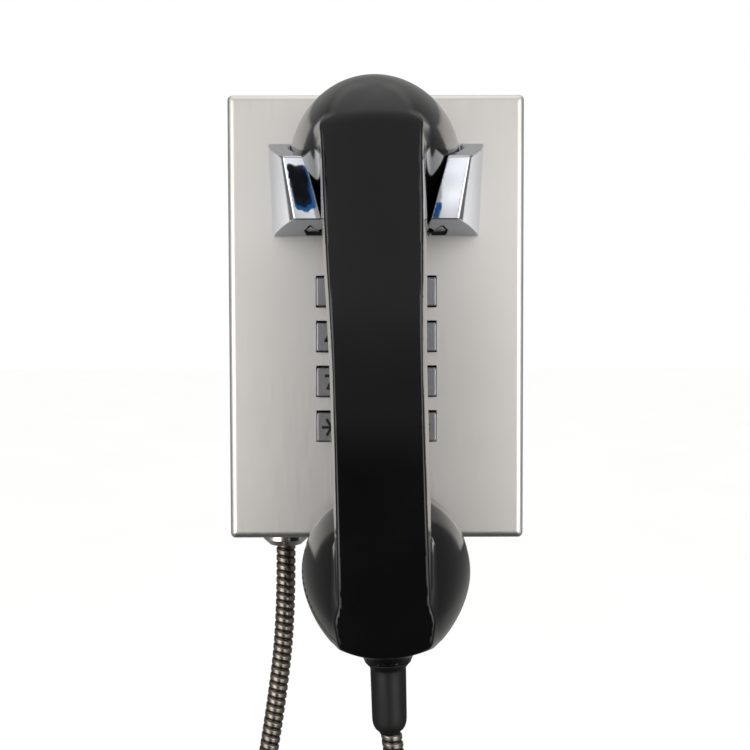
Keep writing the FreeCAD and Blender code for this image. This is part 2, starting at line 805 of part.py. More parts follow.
def pointed_prism(name, side, inner, outer, root, shoulder, tip, bottom, top):
    """An upright prism with a pointed front end, for a prong or the notch that it moves in."""
    body = new_body(name)
    plan = sketch_on(body, "XY_Plane", bottom)
    middle = f"({inner} + {outer}) / 2"
    polygon(plan, [(side * 22, -40), (side * 22, -60), (side * 25, -75), (side * 28, -65), (side * 28, -40)],
            [(f"{side} * {inner}", root), (f"{side} * {inner}", f"{shoulder} + 4"),
             (f"{side} * {middle}", tip), (f"{side} * {outer}", f"{shoulder}"),
             (f"{side} * {outer}", root)])
    pad(body, plan, f"{top} - ({bottom})")
    return body


def make_cradle():
    """Chromed casting that the ear cup sits in, and the screws that hold it from inside."""
    ear_y = "-housing_depth - ear_depth"
    ball = sphere("pocket_ball", "0", ear_y, "ear_z", "pocket_radius")
    well = cylinder("pocket_well", "Z", "0", ear_y, "ear_z", "pocket_radius", "40")
    drum = cylinder("pocket_drum", "Y", "0", ear_y, "ear_z", "pocket_radius", "ear_depth")
    chute = box("pocket_chute", "-pocket_radius", ear_y, "ear_z", "2 * pocket_radius", "ear_depth", "40")
    shape = fuse("pocket_shape", ball, well, drum, chute)
    room = box("pocket_room", "-50", "-housing_depth - 80", "0", "100", "80 - cradle_floor", "120")
    tools = [common("pocket", shape, room)]
    for side in (-1, 1):
        tools.append(pointed_prism(f"prong_notch_{2 + side}", side, "notch_inner", "notch_outer",
                                   "1 - housing_depth", "-housing_depth - notch_shoulder",
                                   "-housing_depth - notch_reach", "cradle_bottom - 5", "notch_top"))
    screws = []
    inner_face = "-housing_depth + sheet_gauge"
    for number, (side, level) in enumerate(corner_signs(), start=1):
        x = f"{side} * cradle_screw_x"
        z = "cradle_screw_low" if level < 0 else "cradle_screw_high"
        tip = "-housing_depth - cradle_screw_bite"
        tools.append(cylinder(f"cradle_bore_{number}", "Y", x, f"{tip} - 1", z,
                              "stud_radius + 0.1", "cradle_screw_bite + 2"))
        shank = cylinder(f"cradle_screw_shank_{number}", "Y", x, tip, z, "stud_radius",
                         "cradle_screw_bite + sheet_gauge + bracket_gauge")
        head = cylinder(f"cradle_screw_head_{number}", "Y", x, f"{inner_face} + bracket_gauge", z,
                        "cradle_head_radius", "cradle_head_gauge")
        screws.append(fuse(f"cradle_screw_{number}", shank, head))
    keep(cut("cradle_casting", make_cradle_blank(), *tools), "cradle_casting")
    keep(group("cradle_screws", screws), "cradle_screws")


# ---------------------------------------------------------------- hook switch

def make_hook_lever():
    """Forked lever: two prongs under the ear cup, a hub on the pin and a tail on the switch."""
    y = "-pivot_depth"
    hub = cylinder("lever_hub", "X", "-hub_half", y, "pivot_z", "hub_radius", "2 * hub_half")
    arms = []
    for side in (-1, 1):
        arms.append(pointed_prism(f"lever_prong_{2 + side}", side, "prong_inner", "prong_outer", y,
                                  "-housing_depth - prong_shoulder", "-housing_depth - prong_reach",
                                  "prong_bottom", "prong_top"))
    tail = box("lever_tail", "-tail_half", f"{y} - tail_gauge / 2 - 0.5", "pivot_z - tail_length",
               "2 * tail_half", "tail_gauge", "tail_length")
    blank = fuse("lever_blank", hub, tail, *arms)
    bore = cylinder("lever_bore", "X", "-hub_half - 1", y, "pivot_z", "pivot_radius + pivot_play",
                    "2 * hub_half + 2")
    cup = cylinder("lever_cup_relief", "Y", "ear_x", "-housing_depth - prong_reach - 5", "ear_z",
                   "ear_radius + 0.4", "prong_reach + 5")
    keep(cut("hook_lever", blank, bore, cup), "hook_lever")


def make_hook_bracket():
    """Folded bracket that the cradle screws clamp behind the cover, with the pin's two ears."""
    front = "-housing_depth + sheet_gauge"
    height = "bracket_high - bracket_low"
    shell = box("bracket_shell", "-bracket_half", front, "bracket_low", "2 * bracket_half",
                "housing_depth - sheet_gauge - bracket_back", height)
    room = box("bracket_room", "bracket_gauge - bracket_half", f"{front} - 1", "bracket_low - 1",
               "2 * (bracket_half - bracket_gauge)",
               "housing_depth - sheet_gauge - bracket_back - bracket_gauge + 1", f"{height} + 2")
    channel = cut("bracket_channel", shell, room)
    wings = []
    for side in (-1, 1):
        left = "bracket_half - bracket_gauge" if side > 0 else "-bracket_wing"
        wings.append(box(f"bracket_wing_{2 + side}", left, front, "cradle_screw_low - bracket_wing_below",
                         "bracket_wing - bracket_half + bracket_gauge", "bracket_gauge",
                         "cradle_screw_high - cradle_screw_low + bracket_wing_below + bracket_wing_above"))
    blank = fuse("bracket_blank", channel, *wings)
    holes = [cylinder("bracket_pin_hole", "X", "-bracket_half - 5", "-pivot_depth", "pivot_z",
                      "pivot_radius + 0.1", "2 * bracket_half + 10")]
    for number, (side, level) in enumerate(corner_signs(), start=1):
        z = "cradle_screw_low" if level < 0 else "cradle_screw_high"
        holes.append(cylinder(f"bracket_screw_hole_{number}", "Y", f"{side} * cradle_screw_x",
                              f"{front} - 1", z, "stud_radius + 0.2", "bracket_gauge + 2"))
    keep(cut("hook_bracket", blank, *holes), "hook_bracket")


def make_hook_details():
    """Pivot pin, torsion spring and the switch that the tail works."""
    y = "-pivot_depth"
    pin = cylinder("pin_shank", "X", "-bracket_half - pin_head_gauge - 0.1", y, "pivot_z",
                   "pivot_radius", "2 * (bracket_half + pin_head_gauge + 0.1)")
    heads = [cylinder(f"pin_head_{2 + side}", "X",
                      "bracket_half + 0.1" if side > 0 else "-bracket_half - pin_head_gauge - 0.1",
                      y, "pivot_z", "pivot_radius + pin_head_rim", "pin_head_gauge") for side in (-1, 1)]
    keep(fuse("hook_pivot_pin", pin, *heads), "hook_pivot_pin")

    coils = []
    for number in range(6):
        coil = doc.addObject("Part::Torus", f"spring_coil_{number + 1}")
        bind(coil, Radius1="hub_radius + spring_gap + spring_wire / 2", Radius2="spring_wire / 2")
        coil.Placement = FreeCAD.Placement(Vector(), TOWARDS["X"])
        place(coil, f"spring_start + {number} * spring_wire * 0.92", y, "pivot_z")
        coils.append(coil)
    leg = cylinder("spring_leg", "Y", "spring_start", y,
                   "pivot_z + hub_radius + spring_gap + spring_wire / 2",
                   "spring_wire / 2", "pivot_depth - bracket_back - bracket_gauge")
    keep(fuse("hook_spring", *coils, leg), "hook_spring")

    tail_back = f"{y} + tail_gauge / 2 - 0.5"
    depth = "pivot_depth - tail_gauge / 2 + 0.5 - bracket_back - bracket_gauge"
    case = box("switch_case", "-switch_half", f"{tail_back} + switch_clearance", "bracket_low + 1",
               "2 * switch_half", f"{depth} - switch_clearance", "switch_height")
    button = cylinder("switch_button", "Y", "0", f"{tail_back} + 0.3", "bracket_low + 5",
                      "switch_button_radius", "2")
    keep(fuse("hook_switch", case, button), "hook_switch")


# ---------------------------------------------------------------- electronics

def make_main_board():
    """Main circuit board on four standoffs, with the large components it carries."""
    front_of_posts = "-back_gauge - standoff_length"
    board = box("main_board_blank", "-main_board_half", f"{front_of_posts} - board_gauge",
                "main_board_low", "2 * main_board_half", "board_gauge", "main_board_high - main_board_low")
    holes = []
    posts = []
    screws = []
    for number, (side, level) in enumerate(corner_signs(), start=1):
        x = f"{side} * standoff_x"
        z = "standoff_low" if level < 0 else "standoff_high"
        holes.append(cylinder(f"board_hole_{number}", "Y", x, f"{front_of_posts} - board_gauge - 1", z,
                              "stud_radius + 0.2", "board_gauge + 2"))
        post = cylinder(f"post_blank_{number}", "Y", x, front_of_posts, z, "standoff_radius",
                        "standoff_length")
        bore = cylinder(f"post_bore_{number}", "Y", x, f"{front_of_posts} - 1", z,
                        "stud_radius + 0.1", "standoff_length - 1")
        posts.append(cut(f"standoff_{number}", post, bore))
        shank = cylinder(f"board_screw_shank_{number}", "Y", x, f"{front_of_posts} - board_gauge", z,
                         "stud_radius", "board_gauge + board_screw_reach")
        head = cylinder(f"board_screw_head_{number}", "Y", x,
                        f"{front_of_posts} - board_gauge - board_head_gauge", z,
                        "board_head_radius", "board_head_gauge")
        screws.append(fuse(f"board_screw_{number}", shank, head))
    keep(cut("main_board", board, *holes), "main_board")
    keep(group("board_standoffs", posts), "board_standoffs")
    keep(group("board_screws", screws), "board_screws")

    face = f"{front_of_posts} - board_gauge"
    core = box("transformer_core", "core_left", f"{face} - core_depth", "core_low", "core_width",
               "core_depth", "core_height")
    winding = box("transformer_winding", "core_left + winding_inset",
                  f"{face} - core_depth - winding_rise", "core_low - winding_over",
                  "core_width - 2 * winding_inset", "core_depth", "core_height + 2 * winding_over")
    keep(fuse("line_transformer", core, winding), "line_transformer")
    ringer = cylinder("ringer_case", "Y", "ringer_x", f"{face} - ringer_depth", "ringer_z",
                      "ringer_radius", "ringer_depth")
    port = cylinder("ringer_port", "Y", "ringer_x", f"{face} - ringer_depth - 1", "ringer_z",
                    "ringer_port", "3")
    keep(cut("ringer", ringer, port), "ringer")
    block = box("terminal_case", "block_left", f"{face} - block_depth", "block_low", "block_width",
                "block_depth", "block_height")
    wells = [cylinder(f"terminal_well_{number}", "Y", f"block_left + well_inset + {number} * well_pitch",
                      f"{face} - block_depth - 1", "block_low + block_height / 2",
                      "well_radius", "5") for number in range(4)]
    keep(cut("terminal_block", block, *wells), "terminal_block")
    cans = [cylinder(f"capacitor_{number + 1}", "Y", f"can_x + {number} * can_pitch",
                     f"{face} - can_depth", "can_z", "can_radius", "can_depth") for number in range(3)]
    keep(group("capacitors", cans), "capacitors")
    chip = box("speech_case", "chip_left", f"{face} - chip_depth", "chip_low", "chip_width",
               "chip_depth", "chip_height")
    keep(chip, "speech_chip")


# ---------------------------------------------------------------- gland and cord

def make_gland():
    """Flanged gland in the cover's underside, with its washer, nut and lanyard ferrule."""
    underside = "-housing_height / 2"
    y = "-gland_depth"
    flange = cylinder("gland_flange", "Z", "gland_x", y, f"{underside} - gland_flange_gauge",
                      "gland_flange_radius", "gland_flange_gauge")
    skirt = cone("gland_skirt", "Z", "gland_x", y, f"{underside} - gland_flange_height",
                 "gland_flange_radius - gland_skirt_draw", "gland_flange_radius",
                 "gland_flange_height - gland_flange_gauge")
    stem = cylinder("gland_stem", "Z", "gland_x", y, underside, "gland_body_radius", "gland_body_height")
    blank = fuse("gland_blank", flange, skirt, stem)
    bore = cylinder("gland_bore", "Z", "gland_x", y, f"{underside} - 10", "gland_bore_radius", "40")
    keep(cut("cable_gland", blank, bore), "cable_gland")

    inside = f"{underside} + sheet_gauge"
    washer = cylinder("washer_blank", "Z", "gland_x", y, inside, "gland_flange_radius",
                      "washer_gauge")
    washer_bore = cylinder("washer_bore", "Z", "gland_x", y, f"{inside} - 1",
                           "gland_body_radius + 0.1", "washer_gauge + 2")
    keep(cut("gland_washer", washer, washer_bore), "gland_washer")
    nut = hexagon("gland_nut_blank", "Z", "gland_x", y, f"{inside} + washer_gauge",
                  "gland_nut_radius", "gland_nut_gauge")
    nut_bore = cylinder("gland_nut_bore", "Z", "gland_x", y, inside, "gland_body_radius + 0.1",
                        "gland_nut_gauge + 2")
    keep(cut("gland_nut", nut, nut_bore), "gland_nut")
    ferrule = cylinder("ferrule_case", "Z", "gland_x", y, f"{underside} + gland_body_height",
                       "ferrule_radius", "ferrule_length")
    keep(ferrule, "lanyard_ferrule")


def cord_path(points):
    """Straight runs joined by tangent arcs, each arc as large as its two runs allow."""
    edges = []
    last = points[0]
    share = 0.45
    length = 0.0
    for index in range(1, len(points) - 1):
        corner = points[index]
        before = points[index - 1] - corner
        after = points[index + 1] - corner
        half_turn = (math.pi - before.getAngle(after)) / 2
        reach = share * min(before.Length, after.Length)
        radius = reach / math.tan(half_turn)
        print(f"cord arc {index}: radius {radius:.1f} mm, turn {math.degrees(2 * half_turn):.1f} degrees")
        before.normalize()
        after.normalize()
        arc_start = corner + before * reach
        arc_end = corner + after * reach
        inward = before + after
        inward.normalize()
        middle = corner + inward * (radius / math.cos(half_turn) - radius)
        edges.append(Part.LineSegment(last, arc_start).toShape())
        edges.append(Part.Arc(arc_start, middle, arc_end).toShape())
        length += last.distanceToPoint(arc_start) + radius * 2 * half_turn
        last = arc_end
    edges.append(Part.LineSegment(last, points[-1]).toShape())
    length += last.distanceToPoint(points[-1])
    return Part.Wire(edges), length


def make_cord():
    """The armoured cord as a plain tube along its route."""
    points = [Vector(*point) for point in CORD_ROUTE]
    path, length = cord_path(points)
    radius = size("cord_diameter") / 2
    section = Part.Wire([Part.makeCircle(radius, points[0], points[1] - points[0])])
    tube = path.makePipeShell([section], True, False)
    item = doc.addObject("Part::Feature", "armoured_cord")
    item.Shape = Part.Solid(tube) if tube.ShapeType != "Solid" else tube
    expected = math.pi * radius ** 2 * length
    print(f"cord: length {length:.1f} mm, volume {item.Shape.Volume:.0f}, expected {expected:.0f} mm3")
    keep(item, "armoured_cord")


# ---------------------------------------------------------------- handset

def handset_placement(local=None):
    """Where the handset's own frame stands: it hangs with a slight lean and turn."""
    base = Vector(size("ear_x"), -size("housing_depth") - size("ear_depth"), size("ear_z"))
    lean = Rotation(Vector(0, 1, 0), -size("lean"))
    turn = Rotation(Vector(0, 0, 1), -size("turn"))
    hung = FreeCAD.Placement(base, turn.multiply(lean))
    return hung.multiply(local) if local else hung


def mouth_placement():
    """The mouth cup's frame inside the handset's frame, tilted towards the ear."""
    tilt = Rotation(Vector(1, 0, 0), size("mouth_tilt"))
    return FreeCAD.Placement(Vector(0, -size("mouth_out"), -size("mouth_drop")), tilt)


def hang(piece, label, in_mouth=False):
    """Keep a piece that was built in the handset's frame or in the mouth cup's frame."""
    item = group(label, [piece])
    item.Placement = handset_placement(mouth_placement() if in_mouth else None)
    return keep(item, label)


def cup(name, radius):
    """Outside of a cup: a domed back on a short straight rim, open towards the wall."""
    dome = sphere(f"{name}_dome", "0", "0", "0", f"{radius} - dome_inset")
    rim = cylinder(f"{name}_rim", "Y", "0", "0", "0", radius, "cup_rim")
    beyond = box(f"{name}_beyond", "-60", "cup_rim", "-60", "120", "60", "120")
    return cut(f"{name}_outside", fuse(f"{name}_round", dome, rim), beyond)


def cup_hollow(name, radius):
    """Inside of a cup, open at its rim."""
    dome = sphere(f"{name}_inner_dome", "0", "0", "0", radius)
    rim = cylinder(f"{name}_inner_rim", "Y", "0", "0", "0", radius, "cup_rim + 1")
    beyond = box(f"{name}_inner_beyond", "-60", "cup_rim + 1", "-60", "120", "60", "120")
    return cut(f"{name}_inside", fuse(f"{name}_inner_round", dome, rim), beyond)


def make_bar():
    """The grip: an arched bar with sloping sides."""
    body = new_body("handset_bar")
    profile = sketch_on(body, "YZ_Plane")
    out_top, out_mid, out_low = size("bar_out_top"), size("bar_out_mid"), size("bar_out_low")
    end_top, end_low = size("bar_end_top"), size("bar_end_low")
    inner, inner_mid = size("bar_in"), size("bar_in_mid")
    boot_y = -size("boot_out") - 8
    corners = [Vector(-out_top, end_top), Vector(-out_low, -end_low), Vector(boot_y, 3 - size("boot_top")),
               Vector(boot_y, -160), Vector(-inner, -138), Vector(-inner, -18),
               Vector(-12, -5), Vector(-12, end_top + 4), Vector(-31, end_top + 6)]
    profile.addGeometry(Part.Arc(corners[0], Vector(-out_mid, -80), corners[1]), False)
    for start, end in ((1, 2), (2, 3), (3, 4)):
        profile.addGeometry(Part.LineSegment(corners[start], corners[end]), False)
    profile.addGeometry(Part.Arc(corners[4], Vector(-inner_mid, -78), corners[5]), False)
    for start, end in ((5, 6), (6, 7), (7, 8), (8, 0)):
        profile.addGeometry(Part.LineSegment(corners[start], corners[end]), False)
    pad(body, profile, "2 * bar_half_back", both_ways=True)
    slopes = sketch_on(body, "XY_Plane")
    for side in (-1, 1):
        polygon(slopes, [(side * 15, -60), (side * 25, -60), (side * 18, -20)],
                [(f"{side} * bar_half_front", "-bar_out_mid - 1"),
                 (f"{side} * (bar_half_back + 5)", "-bar_out_mid - 1"),
                 (f"{side} * bar_half_back", "-bar_in")])
    pocket(body, slopes)
    return body


def end_trim(name, lower, centre_z, radius, depth):
    """What lies beyond a rounded, sloping end of the bar."""
    reach_front = "bar_out_mid + 10"
    far = f"{radius} + bar_end_slope * {depth}"
    keep_inside = cone(f"{name}_cone", "Y", "0", f"-({reach_front})", centre_z,
                       f"{far} - bar_end_slope * ({reach_front})", far, reach_front)
    start = f"{centre_z} - 80" if lower else centre_z
    beyond = box(f"{name}_beyond", "-30", f"-({reach_front})", start, "60", reach_front, "80")
    return cut(name, beyond, keep_inside)


def make_trimmed_bar():
    """The bar with its two rounded ends."""
    top = end_trim("bar_top_trim", False, "bar_end_top - bar_end_round_top", "bar_end_round_top",
                   "bar_out_top")
    low = end_trim("bar_low_trim", True, "bar_end_round_low - bar_end_low", "bar_end_round_low",
                   "bar_out_low")
    return cut("bar_trimmed", make_bar(), top, low)


def make_handset_shell():
    """One hollow moulding: both cups, the bar and the collar for the boot."""
    ear = cup("ear", "ear_radius")
    mouth = cup("mouth", "mouth_radius")
    mouth.Placement = mouth_placement()
    collar = cylinder("boot_collar", "Z", "0", "-boot_out", "-boot_top", "boot_flare + 0.4", "14")
    outside = fuse("handset_outside", ear, mouth, make_trimmed_bar(), collar)
    ear_room = cup_hollow("ear", "ear_radius - cup_wall")
    mouth_room = cup_hollow("mouth", "mouth_radius - cup_wall")
    mouth_room.Placement = mouth_placement()
    bar_room = box("bar_room", "-11.5", "3.5 - bar_out_low", "-160", "23",
                   "bar_out_low - bar_in_mid - 6.5", "155")
    boot_hole = cylinder("boot_hole", "Z", "0", "-boot_out", "-boot_top - 1",
                         "boot_spigot_radius + 0.1", "16")
    inside = fuse("handset_inside", ear_room, mouth_room, bar_room, boot_hole)
    hang(cut("shell_moulding", outside, inside), "handset_shell")


def make_cap(name, radius, holes, in_mouth):
    """Screwed cap that closes a cup, with sound holes and a spigot that reaches inside."""
    face = cylinder(f"{name}_face", "Y", "0", "cup_rim", "0", radius, "cap_gauge - 1")
    edge = cone(f"{name}_edge", "Y", "0", "cup_rim + cap_gauge - 1", "0", radius, f"{radius} - 1", "1")
    spigot = cylinder(f"{name}_spigot", "Y", "0", "cup_rim - cap_spigot", "0",
                      f"{radius} - cup_wall - 0.2", "cap_spigot")
    tools = []
    for number, (across, up) in enumerate(holes, start=1):
        tools.append(cylinder(f"{name}_hole_{number}", "Y", str(across), "0", str(up), "1.1", "20"))
    hang(cut(f"{name}_disc", fuse(f"{name}_blank", face, edge, spigot), *tools), name, in_mouth)


def ring_of_holes(count, radius):
    """Hole centres on a circle."""
    turns = [2 * math.pi * number / count for number in range(count)]
    return [(round(radius * math.cos(turn), 3), round(radius * math.sin(turn), 3)) for turn in turns]


def make_handset_insides():
    """Receiver, microphone and the soft rings that hold them against the caps."""
    spigot_end = "cup_rim - cap_spigot"
    ring = cylinder("ear_gasket_blank", "Y", "0", f"{spigot_end} - gasket_gauge", "0",
                    "gasket_radius", "gasket_gauge")
    window = cylinder("ear_gasket_window", "Y", "0", f"{spigot_end} - 2 * gasket_gauge", "0",
                      "gasket_window", "5")
    hang(cut("ear_gasket_ring", ring, window), "ear_gasket")
    back = f"{spigot_end} - gasket_gauge - receiver_depth"
    case = cylinder("receiver_case", "Y", "0", back, "0", "receiver_radius", "receiver_depth")
    magnet = cylinder("receiver_magnet", "Y", "0", f"{back} - magnet_depth", "0", "magnet_radius",
                      "magnet_depth")
    hang(fuse("receiver_body", case, magnet), "receiver_capsule")
    foam = cylinder("baffle_disc", "Y", "0", f"{spigot_end} - baffle_gauge", "0", "baffle_radius",
                    "baffle_gauge")
    hang(foam, "mouth_baffle", in_mouth=True)
    flange_back = f"{spigot_end} - baffle_gauge - microphone_flange"
    flange = cylinder("microphone_rim", "Y", "0", flange_back, "0", "microphone_radius",
                      "microphone_flange")
    can = cylinder("microphone_case", "Y", "0", f"{flange_back} - microphone_depth", "0",
                   "microphone_can", "microphone_depth")
    hang(fuse("microphone_body", flange, can), "microphone_capsule", in_mouth=True)


def make_boot():
    """Moulded boot that the cord leaves the handset through, and the clamp inside."""
    top = "-boot_top"
    tip = "-boot_top - boot_length"
    y = "-boot_out"
    flare = cone("boot_flare_cone", "Z", "0", y, f"{top} - boot_flare_height", "boot_radius",
                 "boot_flare", "boot_flare_height")
    sleeve = cylinder("boot_sleeve", "Z", "0", y, f"{tip} + boot_nose_height", "boot_radius",
                      "boot_length - boot_flare_height - boot_nose_height")
    nose = cone("boot_nose", "Z", "0", y, tip, "boot_tip_radius", "boot_radius",
                "boot_nose_height")
    spigot = cylinder("boot_spigot", "Z", "0", y, top, "boot_spigot_radius", "boot_spigot_length")
    hang(fuse("boot_moulding", flare, sleeve, nose, spigot), "cord_boot")
    plate = box("clamp_plate", "-clamp_plate_width / 2", "-boot_out - clamp_plate_depth / 2",
                "boot_spigot_length + 0.5 - boot_top", "clamp_plate_width", "clamp_plate_depth",
                "clamp_plate_gauge")
    hang(plate, "cord_clamp")


def make_handset():
    make_handset_shell()
    make_cap("ear_cap", "ear_radius", [(0, 0)] + ring_of_holes(6, 5.5) + ring_of_holes(12, 11), False)
    make_cap("mouth_cap", "mouth_radius", [(0, 0)] + ring_of_holes(6, 4.5), True)
    make_handset_insides()
    make_boot()


# ---------------------------------------------------------------- build, check and write

def check_document():
    """Stop if any object failed or any piece has no valid shape."""
    for item in doc.Objects:
        if {"Invalid", "Error"} & set(item.State):
            raise SystemExit(f"{item.Label} failed: {item.State}")
    for item in nodes:
        if item.Shape.isNull() or not item.Shape.isValid():
            raise SystemExit(f"{item.Label} has no valid shape")


def write_nodes():
    """Write each piece to its own STEP file."""
    os.makedirs("parts", exist_ok=True)
    for item in nodes:
        item.Shape.exportStep(f"parts/{item.Label}.step")
        print(f"{item.Label}: {len(item.Shape.Solids)} solid(s), {item.Shape.Volume:.0f} mm3")


def main():
    make_sheet()
    make_back_plate()
    make_housing_gasket()
    make_front_cover()
    make_cover_fixings()
    make_line_grommet()
    for row, names in enumerate(KEY_NAMES):
        for column, name in enumerate(names):
            make_key(name, column, row)
    make_keypad_stack()
    make_cradle()
    make_hook_lever()
    make_hook_bracket()
    make_hook_details()
    make_main_board()
    make_gland()
    make_cord()
    make_handset()
    doc.recompute()
    check_document()
    write_nodes()
    print(f"{len(nodes)} pieces")


main()
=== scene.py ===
"""Looks of the wall telephone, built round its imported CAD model.

Blender works in metres in the CAD model's own frame: +Z is up and the telephone faces -Y.
Shapes with soft edges are distance fields in millimetres, and a mesh is laid on each one.
"""

import json
import math

import bpy
import numpy as np
from mathutils import Matrix, Vector


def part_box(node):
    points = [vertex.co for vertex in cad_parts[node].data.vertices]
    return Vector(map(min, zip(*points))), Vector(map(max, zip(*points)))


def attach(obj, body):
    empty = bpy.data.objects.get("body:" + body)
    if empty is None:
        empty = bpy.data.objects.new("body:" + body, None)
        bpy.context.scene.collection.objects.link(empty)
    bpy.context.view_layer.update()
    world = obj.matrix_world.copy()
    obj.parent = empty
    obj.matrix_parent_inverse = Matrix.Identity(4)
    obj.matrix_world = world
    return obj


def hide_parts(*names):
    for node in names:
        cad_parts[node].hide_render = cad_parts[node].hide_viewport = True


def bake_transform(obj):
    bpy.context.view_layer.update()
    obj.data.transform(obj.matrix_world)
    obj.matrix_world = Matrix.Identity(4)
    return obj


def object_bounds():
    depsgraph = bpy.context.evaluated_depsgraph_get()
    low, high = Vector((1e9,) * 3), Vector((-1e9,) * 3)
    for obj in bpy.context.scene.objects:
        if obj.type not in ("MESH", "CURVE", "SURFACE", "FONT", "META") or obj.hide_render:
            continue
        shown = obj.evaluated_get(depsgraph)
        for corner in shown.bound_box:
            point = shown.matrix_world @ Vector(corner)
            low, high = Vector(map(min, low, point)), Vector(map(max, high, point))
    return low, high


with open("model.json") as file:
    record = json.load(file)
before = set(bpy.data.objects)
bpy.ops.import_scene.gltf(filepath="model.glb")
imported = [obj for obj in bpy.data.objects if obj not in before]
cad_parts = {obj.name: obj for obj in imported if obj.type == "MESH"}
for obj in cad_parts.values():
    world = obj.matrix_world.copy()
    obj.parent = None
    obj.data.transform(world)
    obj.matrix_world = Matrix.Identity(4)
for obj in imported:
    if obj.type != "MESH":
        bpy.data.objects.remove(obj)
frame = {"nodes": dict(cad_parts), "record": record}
cad_low, cad_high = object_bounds()

MM = 0.001

# ---------------------------------------------------------------- camera

CAMERA_PLACE = (-0.00137, -0.430, -0.00905)
CAMERA_LENS = 44.95
SENSOR_WIDTH = 36.0
CAMERA_PITCH_DOWN = 2.12
CAMERA_YAW = -0.12
CAMERA_ROLL = -0.15


def make_camera():
    """A camera a little below the middle of the housing, pitched slightly down."""
    data = bpy.data.cameras.new("camera")
    data.lens = CAMERA_LENS
    data.sensor_width = SENSOR_WIDTH
    data.clip_start = 0.01
    data.clip_end = 50.0
    camera = bpy.data.objects.new("camera", data)
    bpy.context.scene.collection.objects.link(camera)
    yaw = Matrix.Rotation(math.radians(CAMERA_YAW), 3, "Z")
    pitch = Matrix.Rotation(math.radians(90.0 - CAMERA_PITCH_DOWN), 3, "X")
    roll = Matrix.Rotation(math.radians(CAMERA_ROLL), 3, "Z")
    camera.matrix_world = Matrix.Translation(CAMERA_PLACE) @ (yaw @ pitch @ roll).to_4x4()
    bpy.context.scene.camera = camera


# ---------------------------------------------------------------- materials

def new_look(name, colour, roughness, metallic=0.0):
    """A material with one Principled shader, and the tree and shader to add detail to."""
    material = bpy.data.materials.new(name)
    material.use_nodes = True
    tree = material.node_tree
    shader = tree.nodes["Principled BSDF"]
    shader.inputs["Base Color"].default_value = (*colour, 1.0)
    shader.inputs["Roughness"].default_value = roughness
    shader.inputs["Metallic"].default_value = metallic
    return material, tree, shader


def stretched_place(tree, stretch=(1.0, 1.0, 1.0)):
    """Object coordinates, scaled along each axis."""
    place = tree.nodes.new("ShaderNodeTexCoord")
    scale = tree.nodes.new("ShaderNodeMapping")
    scale.inputs["Scale"].default_value = stretch
    tree.links.new(place.outputs["Object"], scale.inputs["Vector"])
    return scale.outputs["Vector"]


def noise(tree, scale, detail=3.0, stretch=(1.0, 1.0, 1.0)):
    """Soft noise of a given number of cells per metre."""
    texture = tree.nodes.new("ShaderNodeTexNoise")
    texture.inputs["Scale"].default_value = scale
    texture.inputs["Detail"].default_value = detail
    tree.links.new(stretched_place(tree, stretch), texture.inputs["Vector"])
    return texture.outputs["Fac"]


def spread(tree, value, low, high, start=0.3, end=0.7):
    """Spread a noise value over a range."""
    node = tree.nodes.new("ShaderNodeMapRange")
    node.inputs["From Min"].default_value = start
    node.inputs["From Max"].default_value = end
    node.inputs["To Min"].default_value = low
    node.inputs["To Max"].default_value = high
    tree.links.new(value, node.inputs["Value"])
    return node.outputs["Result"]


def two_colours(tree, factor, first, second):
    """A colour between two, by a factor."""
    node = tree.nodes.new("ShaderNodeMix")
    node.data_type = "RGBA"
    node.inputs["A"].default_value = (*first, 1.0)
    node.inputs["B"].default_value = (*second, 1.0)
    tree.links.new(factor, node.inputs["Factor"])
    return node.outputs["Result"]


def add_bump(tree, shader, height, depth, strength=1.0, edge_radius=None):
    """Fine relief of a depth in metres, over edges that look rounded if a radius is given."""
    bump = tree.nodes.new("ShaderNodeBump")
    bump.inputs["Distance"].default_value = depth
    bump.inputs["Strength"].default_value = strength
    tree.links.new(height, bump.inputs["Height"])
    if edge_radius:
        bevel = tree.nodes.new("ShaderNodeBevel")
        bevel.samples = 6
        bevel.inputs["Radius"].default_value = edge_radius
        tree.links.new(bevel.outputs["Normal"], bump.inputs["Normal"])
    tree.links.new(bump.outputs["Normal"], shader.inputs["Normal"])


def brushed_look(name, colour, roughness=0.42, grain=2600.0, edge_radius=0.0003, contrast=0.06):
    """Steel with a fine grain that runs up and down, and faint clouds of colour."""
    material, tree, shader = new_look(name, colour, roughness, 1.0)
    streaks = noise(tree, grain, 2.0, (1.0, 1.0, 0.02))
    clouds = noise(tree, 22.0, 2.0)
    darker = [channel * (1.0 - contrast) for channel in colour]
    lighter = [min(1.0, channel * (1.0 + contrast)) for channel in colour]
    tree.links.new(two_colours(tree, clouds, darker, lighter), shader.inputs["Base Color"])
    tree.links.new(spread(tree, streaks, roughness - 0.05, roughness + 0.07), shader.inputs["Roughness"])
    add_bump(tree, shader, streaks, 0.000012, 0.5, edge_radius)
    return material


def plated_look(name, colour, roughness=0.3):
    """Bright plating with faint cloudiness."""
    material, tree, shader = new_look(name, colour, roughness, 1.0)
    clouds = noise(tree, 180.0)
    tree.links.new(spread(tree, clouds, roughness * 0.7, roughness * 1.4), shader.inputs["Roughness"])
    add_bump(tree, shader, noise(tree, 1500.0), 0.00002, 0.3, 0.00015)
    return material


# How bright chrome stays where it is seen at a shallow angle.
CHROME_GRAZING = (0.68, 0.70, 0.74, 1.0)


def chrome_look(name, colour, roughness=0.04):
    """Mirror plating over a cast surface that is not quite even."""
    material, tree, shader = new_look(name, colour, roughness, 1.0)
    shader.inputs["Specular Tint"].default_value = CHROME_GRAZING
    clouds = noise(tree, 260.0, 4.0)
    tree.links.new(spread(tree, clouds, roughness * 0.6, roughness * 1.8), shader.inputs["Roughness"])
    add_bump(tree, shader, noise(tree, 120.0, 1.0), 0.00004, 0.35)
    return material


